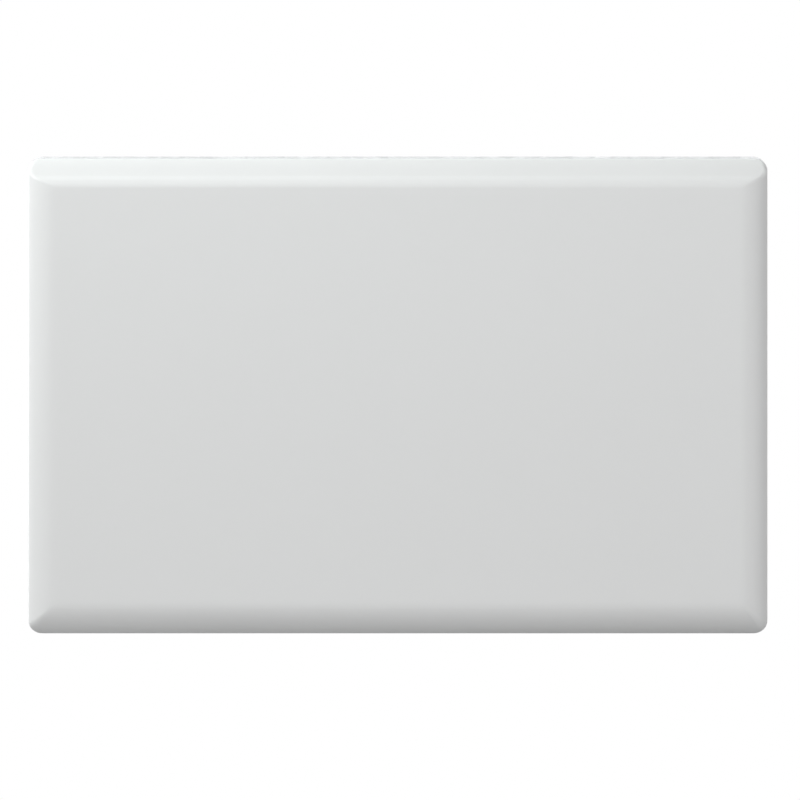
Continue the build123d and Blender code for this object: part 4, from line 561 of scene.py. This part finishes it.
def make(tree, kind, links=(), **settings):
    """A node of that kind with its properties set and its inputs, by number or name, set or linked."""
    node = tree.nodes.new("ShaderNode" + kind)
    for name, value in settings.items():
        setattr(node, name, value)
    for key, value in dict(links).items():
        socket = node.inputs[key]
        if isinstance(value, bpy.types.NodeSocket):
            tree.links.new(value, socket)
        else:
            socket.default_value = value
    return node


def noise(tree, vector, scale, detail=2.0, roughness=0.5):
    """Noise between nought and one at that scale."""
    inputs = {"Vector": vector, "Scale": scale, "Detail": detail, "Roughness": roughness}
    return make(tree, "TexNoise", inputs).outputs["Fac"]


def remap(tree, value, low, high, to_low, to_high):
    """The value carried from the range low to high over to another range, and kept inside it."""
    inputs = {"Value": value, "From Min": low, "From Max": high, "To Min": to_low, "To Max": to_high}
    return make(tree, "MapRange", inputs).outputs["Result"]


def maths(tree, operation, first, second):
    """One sum of two values."""
    return make(tree, "Math", {0: first, 1: second}, operation=operation).outputs[0]


def tinted(tree, tint, factor):
    """The colour times a grey factor."""
    node = make(tree, "VectorMath", {0: tint, "Scale": factor}, operation="SCALE")
    return node.outputs["Vector"]


def powder_group():
    """Powder coat: an orange peel of soft bumps a millimetre or two across, finer grit on it, and a roughness
    that drifts a little."""
    tree, given, out = new_group("powder coat", Colour=(0.8, 0.8, 0.8, 1.0), Roughness=0.45, Peel=420.0)
    given = given.outputs
    vector = given["Vector"]
    peel = noise(tree, vector, given["Peel"], detail=1.0, roughness=0.4)
    grit = noise(tree, vector, maths(tree, "MULTIPLY", given["Peel"], 6.0), detail=1.0)
    drift = noise(tree, vector, 9.0, detail=3.0)
    height = maths(tree, "ADD", peel, maths(tree, "MULTIPLY", grit, 0.12))
    tint = tinted(tree, given["Colour"], remap(tree, drift, *MIDDLE, 0.994, 1.006))
    rough = maths(tree, "ADD", given["Roughness"], remap(tree, drift, *MIDDLE, -0.03, 0.03))
    put_out(tree, out, tint, rough, height)


def spangle_group():
    """Hot-dipped zinc: crystal cells, each with its own shade and roughness, under fine streaks."""
    tree, given, out = new_group(
        "zinc spangle", Colour=(0.6, 0.6, 0.62, 1.0), Roughness=0.4, Cells=190.0, Contrast=0.08
    )
    given = given.outputs
    vector = given["Vector"]
    warp = maths(tree, "MULTIPLY", noise(tree, vector, 90.0), 0.004)
    bent = make(tree, "VectorMath", {0: vector, 1: tinted(tree, (1, 1, 1), warp)})
    cell = make(tree, "TexVoronoi", {"Vector": bent.outputs[0], "Scale": given["Cells"]})
    split = make(tree, "SeparateColor", {0: cell.outputs["Color"]}).outputs
    fine = noise(tree, vector, 900.0)
    low = maths(tree, "SUBTRACT", 1.0, given["Contrast"])
    shade = remap(tree, split[0], 0.0, 1.0, low, 1.03)
    shade = maths(tree, "MULTIPLY", shade, remap(tree, fine, *MIDDLE, 0.97, 1.02))
    rough = maths(tree, "ADD", given["Roughness"], remap(tree, split[1], 0.0, 1.0, -0.10, 0.10))
    put_out(tree, out, tinted(tree, given["Colour"], shade), rough, maths(tree, "ADD", fine, split[2]))


def rolled_group():
    """Rolled or drawn metal: long streaks along one axis, light scuffs and a slow drift of shade."""
    stretch = (1.0, 40.0, 40.0)
    tree, given, out = new_group(
        "rolled grain", Colour=(0.6, 0.6, 0.62, 1.0), Roughness=0.3, Stretch=stretch, Streaks=30.0, Depth=0.05
    )
    given = given.outputs
    vector = given["Vector"]
    drawn = make(tree, "VectorMath", {0: vector, 1: given["Stretch"]}, operation="MULTIPLY").outputs[0]
    streak = noise(tree, drawn, given["Streaks"], detail=4.0, roughness=0.65)
    drift = noise(tree, vector, 14.0, detail=3.0)
    scuff = noise(tree, vector, 160.0, detail=5.0, roughness=0.7)
    swing = maths(tree, "MULTIPLY", remap(tree, streak, *MIDDLE, -1.0, 0.7), given["Depth"])
    shade = maths(tree, "ADD", 1.0, swing)
    shade = maths(tree, "MULTIPLY", shade, remap(tree, drift, *MIDDLE, 0.93, 1.04))
    rough = maths(tree, "ADD", given["Roughness"], remap(tree, streak, *MIDDLE, -0.05, 0.07))
    rough = maths(tree, "ADD", rough, remap(tree, scuff, 0.55, 0.75, 0.0, 0.12))
    put_out(tree, out, tinted(tree, given["Colour"], shade), rough, streak)


def moulded_group():
    """Moulded plastic or rubber: a fine spark-eroded grain, soft flow marks and a little handling polish."""
    tree, given, out = new_group(
        "moulded skin", Colour=(0.5, 0.5, 0.5, 1.0), Roughness=0.5, Grain=1800.0, Variation=0.02
    )
    given = given.outputs
    vector = given["Vector"]
    grain = noise(tree, vector, given["Grain"], roughness=0.6)
    flow = noise(tree, vector, 40.0, detail=3.0)
    swing = maths(tree, "MULTIPLY", remap(tree, flow, *MIDDLE, -1.0, 1.0), given["Variation"])
    rough = maths(tree, "ADD", given["Roughness"], remap(tree, grain, *MIDDLE, -0.05, 0.05))
    rough = maths(tree, "SUBTRACT", rough, remap(tree, flow, 0.5, 0.75, 0.0, 0.06))
    put_out(tree, out, tinted(tree, given["Colour"], maths(tree, "ADD", 1.0, swing)), rough, grain)


def finish_material(slot, group, tint, roughness, metallic=0.0, bump=0.3, deep=2e-5, sockets=None, **inputs):
    """A material for one slot: the group's colour, roughness and height feed a Principled shader. The
    sockets are the shader's own values, and the inputs are the group's."""
    material = bpy.data.materials.new(slot + " finish")
    FINISHES[slot] = material
    material.use_nodes = True
    tree = material.node_tree
    shader = next(n for n in tree.nodes if n.type == "BSDF_PRINCIPLED")
    recipe = tree.nodes.new("ShaderNodeGroup")
    recipe.node_tree = bpy.data.node_groups[group]
    place = tree.nodes.new("ShaderNodeTexCoord")
    tree.links.new(place.outputs["Object"], recipe.inputs["Vector"])
    recipe.inputs["Colour"].default_value = (*tint, 1.0)
    recipe.inputs["Roughness"].default_value = roughness
    for key, value in inputs.items():
        recipe.inputs[key].default_value = value
    tree.links.new(recipe.outputs["Colour"], shader.inputs["Base Color"])
    tree.links.new(recipe.outputs["Roughness"], shader.inputs["Roughness"])
    shader.inputs["Metallic"].default_value = metallic
    for key, value in (sockets or {}).items():
        shader.inputs[key].default_value = value
    dent = make(tree, "Bump", {"Strength": bump, "Distance": deep, "Height": recipe.outputs["Height"]})
    tree.links.new(dent.outputs["Normal"], shader.inputs["Normal"])


class HEATER_OT_finishes(bpy.types.Operator):
    """Makes the finishes and gives each solid its own"""

    bl_idname = "heater.finishes"
    bl_label = "Finishes"

    def execute(self, context):
        paint = context.scene.heater_paint
        powder_group()
        spangle_group()
        rolled_group()
        moulded_group()
        coat = {"Specular IOR Level": 0.38}
        lens = {"Transmission Weight": 0.15, "IOR": 1.49, "Coat Weight": 0.2}
        plated = {"Stretch": (60.0, 60.0, 2.0), "Depth": 0.03}
        board = {"Grain": 600.0, "Variation": 0.08}
        finish_material("powder_white", "powder coat", paint.coat, 0.40, bump=0.22, deep=3e-5, sockets=coat)
        finish_material("galvanised", "zinc spangle", paint.galvanised, 0.42, metallic=1.0, bump=0.05)
        for slot, tint, roughness, bump, inputs in (
            ("zinc_steel", paint.zinc, 0.32, 0.04, plated),
            ("stainless", (0.45, 0.44, 0.425), 0.26, 0.1, {}),
            ("aluminium", (0.60, 0.61, 0.625), 0.34, 0.15, {}),
            ("shield_foil", (0.70, 0.70, 0.71), 0.18, 0.1, {}),
            ("brass", (0.60, 0.43, 0.18), 0.28, 0.1, {}),
        ):
            finish_material(slot, "rolled grain", tint, roughness, metallic=1.0, bump=bump, **inputs)
        for slot, tint, roughness, inputs in (
            ("ceramic", (0.78, 0.74, 0.66), 0.62, {"Grain": 900.0}),
            ("rubber_black", (0.018, 0.018, 0.02), 0.68, {"Grain": 1200.0}),
            ("plastic_grey", paint.grey_plastic, 0.50, {}),
            ("plastic_white", paint.white_plastic, 0.42, {}),
            ("plastic_black", (0.022, 0.022, 0.024), 0.45, {}),
            ("board_green", (0.02, 0.13, 0.05), 0.35, board),
            ("relay_blue", (0.03, 0.09, 0.33), 0.38, {}),
            ("lead_brown", (0.12, 0.05, 0.02), 0.5, {}),
            ("lead_grey", (0.24, 0.245, 0.25), 0.5, {}),
            ("lead_earth", (0.13, 0.33, 0.03), 0.5, {}),
            ("lens_amber", (0.82, 0.15, 0.01), 0.12, {"bump": 0.05, "sockets": lens}),
        ):
            finish_material(slot, "moulded skin", tint, roughness, **inputs)
        for entry in FRAME["record"]["subparts"]:
            node = FRAME["nodes"][entry["node"]]
            node.data.materials.clear()
            node.data.materials.append(FINISHES[entry["material_slot"]])
        return {"FINISHED"}


class HEATER_OT_cover(bpy.types.Operator):
    """Builds the pressed cover with its soft mitres, rolled edges, lips and slots"""

    bl_idname = "heater.cover"
    bl_label = "Front cover"

    def execute(self, context):
        pressed_cover(context.scene.heater_cover)
        return {"FINISHED"}


def mark_folds(mesh, low, high):
    """Bevel weights for the upright edges where a sheet turns away from the wall: the whole width on the
    outside of the fold, at the box's sides and the wall's plane, and the inner share one sheet further in
    both ways."""
    ends = np.empty(len(mesh.edges) * 2, np.int32)
    mesh.edges.foreach_get("vertices", ends)
    one, two = points_of(mesh)[ends].reshape(-1, 2, 3).transpose(1, 0, 2)
    upright = abs(one - two)[:, :2].sum(1) < UPRIGHT
    inward = np.minimum(one[:, 0] - low.x, high.x - one[:, 0])
    outside = upright & (abs(one[:, 1]) < NEAR) & (inward < NEAR)
    inside = upright & (abs(one[:, 1] + FOLDED_SHEET) < NEAR) & (abs(inward - FOLDED_SHEET) < NEAR)
    weights = np.where(outside, 1.0, np.where(inside, INNER_FOLD, 0.0)).astype(np.float32)
    mesh.attributes.new("bevel_weight_edge", "FLOAT", "EDGE").data.foreach_set("value", weights)


def slot_of(node):
    """The material slot of a solid."""
    return next(e["material_slot"] for e in FRAME["record"]["subparts"] if e["node"] == node)


def eased(node, width, segments=2, fold=0.0):
    """A solid's copy with its seams merged and its flat faces joined. A bevel of the width eases each edge
    that turns by more than the eased angle, and a bevel of the fold's width rounds the upright folds of a
    sheet that lies on the wall. Points that a bevel leaves in one place are joined."""
    source = FRAME["nodes"][node]
    mesh = source.data.copy()
    reworked(
        mesh,
        merged(SAME_POINT),
        lambda work: bmesh.ops.dissolve_limit(work, angle_limit=FLAT, verts=work.verts, edges=work.edges),
    )
    if fold:
        mark_folds(mesh, *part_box(node))
    mesh.materials.clear()
    piece = new_object(node + "_eased", mesh, source["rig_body"], slot_of(node))
    mesh.polygons.foreach_set("use_smooth", np.ones(len(mesh.polygons), bool))
    if fold:
        folds = piece.modifiers.new("folds", "BEVEL")
        folds.limit_method, folds.width, folds.segments = "WEIGHT", fold, FOLD_STEPS
        folds.use_clamp_overlap = False
    edges = piece.modifiers.new("edges", "BEVEL")
    edges.limit_method, edges.angle_limit = "ANGLE", EASED_ANGLE
    edges.width, edges.segments = width, segments
    edges.use_clamp_overlap = True
    if not fold:
        piece.modifiers.new("joined", "WELD").merge_threshold = SAME_SKIN_POINT
    piece.modifiers.new("normals", "WEIGHTED_NORMAL").weight = NORMALS_WEIGHT
    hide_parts(node)


def glyph(text, height, thickness):
    """The corners and faces of a flat solid in the shape of a digit or sign, centred on nought."""
    curve = bpy.data.curves.new("sign", "FONT")
    curve.body, curve.size, curve.extrude, curve.resolution_u = text, height, thickness / 2, 4
    holder = bpy.data.objects.new("sign", curve)
    bpy.context.scene.collection.objects.link(holder)
    mesh = bpy.data.meshes.new_from_object(holder.evaluated_get(bpy.context.evaluated_depsgraph_get()))
    points = points_of(mesh).astype(float)
    faces = [list(face.vertices) for face in mesh.polygons]
    bpy.data.meshes.remove(mesh)
    bpy.data.objects.remove(holder)
    bpy.data.curves.remove(curve)
    points[:, :2] -= (points[:, :2].min(0) + points[:, :2].max(0)) / 2
    return points, faces


def marks(name, parts, body, slot):
    """One piece made of several small solids, each given as its corners and faces."""
    points, faces, start = [], [], 0
    for corners, sides in parts:
        points.append(corners)
        faces += [[i + start for i in side] for side in sides]
        start += len(corners)
    mesh = new_mesh(name, np.concatenate(points), faces)
    reworked(
        mesh,
        merged(SAME_MARK_POINT),
        lambda work: bmesh.ops.recalc_face_normals(work, faces=work.faces),
    )
    new_object(name, mesh, body, slot)


def closed_grid(name, x, y, z, body, slot):
    """A skin that closes on itself both ways, from its grid of points."""
    rows, columns = x.shape
    index = np.arange(rows * columns).reshape(rows, columns)
    down, across = np.roll(index, -1, 0), np.roll(index, -1, 1)
    both = np.roll(down, -1, 1)
    faces = np.stack([index, across, both, down], -1).reshape(-1, 4)
    mesh = new_mesh(name, np.stack([x, y, z], -1).reshape(-1, 3), faces.tolist())
    return new_object(name, mesh, body, slot)


def wheel_skin(size):
    """The wheel, as a grid over its turn and its section's stations, with the numbers on its band. The
    grooves on the rim's two other bands fade round their outer edges, and the bore has the shaft's flat."""
    radius = (WHEEL_HIGH.x - WHEEL_LOW.x) / 2
    half = (WHEEL_HIGH.y - WHEEL_LOW.y) / 2
    middle_x, middle_y, middle_z = middle(WHEEL_LOW, WHEEL_HIGH)
    band, soft = size.wheel_band / 2, size.wheel_soft
    inner, web = radius - size.wheel_rim, size.wheel_web / 2
    hub, bore = size.wheel_hub, size.wheel_bore
    quarter = np.linspace(0.0, math.pi / 2, 5)
    less_cos, less_sin = soft * (1 - np.cos(quarter)), soft * (1 - np.sin(quarter))
    face = radius - size.wheel_sink
    band_edge = [
        [face, 0.0, 0.0],
        [face, band - STEP_WIDE, 0.0],
        [radius - size.wheel_sink * 0.8, band - STEP_STEEP, 0.0],
        [radius - size.wheel_sink * 0.1, band + STEP_STEEP, 0.3],
        [radius, band + STEP_WIDE, 1.0],
    ]
    turns = (
        (radius - less_cos, half - less_sin, 1.0 - quarter / KNURL_FADE),
        (inner + less_sin, half - less_cos, 0.0),
        (inner - less_cos, web + less_sin, 0.0),
        (hub + less_sin, web + less_cos, 0.0),
        (hub - less_cos, half - less_sin, 0.0),
        (bore + less_sin, half - less_cos, 0.0),
    )
    side = np.concatenate([band_edge] + [np.stack(np.broadcast_arrays(*turn), 1) for turn in turns])
    other = side[::-1][:-1] * [1.0, -1.0, 1.0]
    loop = np.concatenate([side, other])
    around = np.linspace(0.0, 2 * math.pi, size.wheel_teeth * POINTS_PER_TOOTH, endpoint=False)
    teeth = (0.5 + 0.5 * np.cos(size.wheel_teeth * around)) ** 2
    r = loop[:, :1] - size.wheel_knurl * loop[:, 2:] * teeth
    flat = size.wheel_flat / np.maximum(np.cos(around), LEAST_COSINE)
    r = np.where(loop[:, :1] < bore + SAME_POINT, np.minimum(r, flat), r)
    x = middle_x + r * np.sin(around)
    z = middle_z + r * np.cos(around)
    y = np.broadcast_to(middle_y + loop[:, 1:2], x.shape)
    piece = closed_grid("knurled_wheel", x, y, z, "dial", "plastic_white")
    smooth(piece.data, degrees=40.0)
    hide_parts("thermostat_wheel")
    numbers = []
    step = NUMBER_TURN / (NUMBERS - 1)
    for count in range(NUMBERS):
        points, faces = glyph(str(count + 1), NUMBER_HEIGHT, NUMBER_THICKNESS)
        turn = (count - (NUMBERS - 1) / 2) * step + points[:, 0] / face
        out = face + points[:, 2]
        x, z = middle_x + out * np.sin(turn), middle_z + out * np.cos(turn)
        numbers.append((np.stack([x, middle_y + points[:, 1], z], 1), faces))
    marks("wheel_numbers", numbers, "dial", "plastic_black")


def rocker_signs(size):
    """The two signs on the rocker: a ring on the half that rests level and a bar on the raised half. Each
    lies along its half's slope, counted from the ridge."""
    middle_x, middle_y = middle(ROCKER_LOW, ROCKER_HIGH)[:2]
    ridge_x = middle_x + size.rocker_ridge
    ridge_z = ROCKER_PIVOT_Z + size.rocker_rise
    parts = []
    for sign, tilt, run in (("O", 0.0, SIGN_RUN), ("I", 2 * size.rocker_tilt, -SIGN_RUN)):
        points, faces = glyph(sign, SIGN_HEIGHT, SIGN_THICKNESS)
        along = run + points[:, 0]
        x = ridge_x + along * math.cos(tilt) + points[:, 2] * math.sin(tilt)
        z = ridge_z - along * math.sin(tilt) + points[:, 2] * math.cos(tilt)
        parts.append((np.stack([x, middle_y + points[:, 1], z], 1), faces))
    marks("rocker_signs", parts, "rocker", "plastic_black")


def wheel_pointer(size):
    """A small printed wedge on the tray in front of the wheel: a triangle drawn out to a thin solid."""
    tip_x, tip_y = middle(WHEEL_LOW, WHEEL_HIGH)[0], WHEEL_LOW.y - size.pointer_gap
    level = TRAY_TOP - size.tray_recess
    across, back = POINTER_HALF_WIDTH, -POINTER_LENGTH
    wedge = np.array([[0.0, 0.0, 0.0], [-across, back, 0.0], [across, back, 0.0]])
    wedge += [tip_x, tip_y, level]
    lift = [0.0, 0.0, POINTER_HALF_THICKNESS]
    points = np.concatenate([wedge - lift, wedge + lift])
    faces = [[2, 1, 0], [3, 4, 5], [0, 1, 4, 3], [1, 2, 5, 4], [2, 0, 3, 5]]
    marks("wheel_pointer", [(points, faces)], "heater", "plastic_white")


def area_light(name, place, target, span, watts, tint):
    """A rectangular light at a place, turned to face the target."""
    light = bpy.data.lights.new(name, "AREA")
    light.shape, (light.size, light.size_y) = "RECTANGLE", span
    light.energy, light.color = watts, tint
    lamp = bpy.data.objects.new(name, light)
    bpy.context.scene.collection.objects.link(lamp)
    lamp.location = place
    lamp.rotation_euler = (Vector(target) - Vector(place)).to_track_quat("-Z", "Y").to_euler()


def seen_directly(tree):
    """One for rays that the camera sends, or that gloss or glass sends on, and nought for the rest."""
    path = tree.nodes.new("ShaderNodeLightPath")
    first = maths(tree, "MAXIMUM", path.outputs["Is Camera Ray"], path.outputs["Is Glossy Ray"])
    return maths(tree, "MAXIMUM", first, path.outputs["Is Transmission Ray"])


class HEATER_OT_controls(bpy.types.Operator):
    """Builds the wheel with its numbers, the rocker with its signs, the tray and the pointer"""

    bl_idname = "heater.controls"
    bl_label = "Controls"

    def execute(self, context):
        size = context.scene.heater_controls
        wheel_skin(size)
        eased("switch_rocker", width=0.00035, segments=3)
        rocker_signs(size)
        wheel_pointer(size)
        eased("control_fascia", width=0.00025)
        eased("switch_body", width=0.0003)
        eased("indicator_lens", width=0.0006, segments=4)
        return {"FINISHED"}


class HEATER_OT_bracket(bpy.types.Operator):
    """Eases the wall bracket, its locks, the hangers, the keepers and the buffers"""

    bl_idname = "heater.bracket"
    bl_label = "Wall bracket"

    def execute(self, context):
        for node in ("rail_left", "rail_right", "crossbar_upper", "crossbar_lower"):
            eased(node, width=0.0002, fold=0.0014)
        for node in ("lock_left", "lock_right"):
            eased(node, width=0.0004, segments=3)
        for node in ("hangers", "keepers"):
            eased(node, width=0.00025)
        for node in ("hanger_pins", "lock_pivots"):
            eased(node, width=0.0003, segments=3)
        eased("rear_buffers", width=0.001, segments=3)
        return {"FINISHED"}


class HEATER_OT_supply(bpy.types.Operator):
    """Eases the connection box, its lid and the gland"""

    bl_idname = "heater.supply"
    bl_label = "Connection box"

    def execute(self, context):
        eased("connection_box", width=0.0004)
        eased("connection_lid", width=0.0005, segments=3)
        eased("cord_gland", width=0.0004, segments=3)
        return {"FINISHED"}


def set_surroundings(scene, light):
    """White where it is seen directly, and otherwise an even light from all round."""
    scene.view_settings.view_transform = "Standard"
    world = bpy.data.worlds.new("surroundings")
    scene.world = world
    world.use_nodes = True
    tree = world.node_tree
    tree.nodes.clear()
    even = make(tree, "Background", {"Color": WHITE, "Strength": light.world})
    bright = make(tree, "Background", {"Color": WHITE, "Strength": 1.0})
    mix = make(tree, "MixShader", {0: seen_directly(tree), 1: even.outputs[0], 2: bright.outputs[0]})
    tree.links.new(mix.outputs[0], tree.nodes.new("ShaderNodeOutputWorld").inputs["Surface"])


def set_lights(light):
    """The seven soft lights."""
    origin, white = (0.0, 0.0, 0.0), WHITE[:3]
    for name, place, target, span, watts, tint in (
        ("left_light", (-5.2, -3.0, 1.5), (0.0, -0.05, 0.0), (8.0, 3.8), light.left, white),
        ("right_light", (3.5, -3.5, 1.2), origin, (4.0, 3.2), light.right, white),
        ("front_light", (0.0, -5.0, 0.5), origin, (3.0, 3.0), light.fill, white),
        ("key_light", (-1.6, -0.35, 1.3), (-0.2, -0.05, 0.1), (0.6, 0.6), light.key, light.pale),
        ("near_light", (-0.25, -0.8, 0.9), (-0.1, -0.08, 0.1), (0.8, 0.4), light.near, light.cool),
        ("rear_light", (-0.2, 0.5, 1.3), (0.0, -0.05, 0.19), (2.2, 0.5), light.rear, light.cool),
        ("back_light", (-5.0, 4.5, 1.8), origin, (6.0, 4.4), light.back, white),
    ):
        area_light(name, place, target, span, watts, tint)


def set_floor(scene):
    """A floor that takes the shadow, glows where it is seen directly and can't be seen from below."""
    corners = ((-1, -1), (1, -1), (1, 1), (-1, 1))
    points = [(x * FLOOR_REACH, y * FLOOR_REACH, FLOOR_HEIGHT) for x, y in corners]
    mesh = new_mesh("floor", points, [(0, 1, 2, 3)])
    floor = bpy.data.objects.new("floor", mesh)
    scene.collection.objects.link(floor)
    paper = bpy.data.materials.new("studio floor")
    paper.use_nodes = True
    tree = paper.node_tree
    shader = next(n for n in tree.nodes if n.type == "BSDF_PRINCIPLED")
    shader.inputs["Base Color"].default_value = (FLOOR_GREY, FLOOR_GREY, FLOOR_GREY, 1.0)
    shader.inputs["Roughness"].default_value = FLOOR_ROUGHNESS
    shader.inputs["Emission Color"].default_value = WHITE
    glow = maths(tree, "MULTIPLY", seen_directly(tree), FLOOR_GLOW)
    tree.links.new(glow, shader.inputs["Emission Strength"])
    below = tree.nodes.new("ShaderNodeNewGeometry").outputs["Backfacing"]
    tree.links.new(maths(tree, "SUBTRACT", 1.0, below), shader.inputs["Alpha"])
    mesh.materials.append(paper)


def set_camera(scene, light):
    """A level camera without perspective that sees the heater where the photograph has it."""
    camera = bpy.data.cameras.new("camera")
    camera.type, camera.ortho_scale = "ORTHO", light.view_width
    eye = bpy.data.objects.new("camera", camera)
    scene.collection.objects.link(eye)
    pixel = light.view_width / PICTURE_SIZE
    middle_x, _, middle_z = middle(*CAD_BOX)
    eye.location = (
        middle_x + (PICTURE_SIZE / 2 - OUTLINE_MIDDLE[0]) * pixel,
        -CAMERA_AWAY,
        middle_z - (PICTURE_SIZE / 2 - OUTLINE_MIDDLE[1]) * pixel,
    )
    eye.rotation_euler = (math.pi / 2, 0.0, 0.0)
    scene.camera = eye


class HEATER_OT_stage(bpy.types.Operator):
    """Sets up the floor, the soft lights, the white surroundings and the camera"""

    bl_idname = "heater.stage"
    bl_label = "Stage"

    def execute(self, context):
        scene, light = context.scene, context.scene.heater_light
        set_surroundings(scene, light)
        set_lights(light)
        set_floor(scene)
        set_camera(scene, light)
        return {"FINISHED"}


class HEATER_PT_panel(bpy.types.Panel):
    """The heater's sizes, colours and steps"""

    bl_idname = "HEATER_PT_panel"
    bl_label = "Panel heater"
    bl_space_type = "VIEW_3D"
    bl_region_type = "UI"
    bl_category = "Heater"

    def draw(self, context):
        scene = context.scene
        for group in (getattr(scene, name) for name in GROUPS):
            box = self.layout.box()
            for key in group.bl_rna.properties.keys():
                if key not in ("rna_type", "name"):
                    box.prop(group, key)
        for step in STEPS:
            self.layout.operator(step.bl_idname)


STEPS = (
    HEATER_OT_finishes,
    HEATER_OT_cover,
    HEATER_OT_controls,
    HEATER_OT_bracket,
    HEATER_OT_supply,
    HEATER_OT_stage,
)
GROUPS = {
    "heater_cover": HEATER_PG_cover,
    "heater_controls": HEATER_PG_controls,
    "heater_paint": HEATER_PG_paint,
    "heater_light": HEATER_PG_light,
}
CLASSES = (*GROUPS.values(), *STEPS, HEATER_PT_panel)


def register():
    """Registers the classes and hangs the settings on the scene."""
    for kind in CLASSES:
        bpy.utils.register_class(kind)
    for name, kind in GROUPS.items():
        setattr(bpy.types.Scene, name, bpy.props.PointerProperty(type=kind))


def unregister():
    """Takes the settings and the classes away again."""
    for name in GROUPS:
        delattr(bpy.types.Scene, name)
    for kind in reversed(CLASSES):
        bpy.utils.unregister_class(kind)


def main():
    """Builds the whole heater and its stage."""
    register()
    bpy.ops.heater.finishes()
    bpy.ops.heater.cover()
    bpy.ops.heater.controls()
    bpy.ops.heater.bracket()
    bpy.ops.heater.supply()
    bpy.ops.heater.stage()


if __name__ == "__main__":
    main()
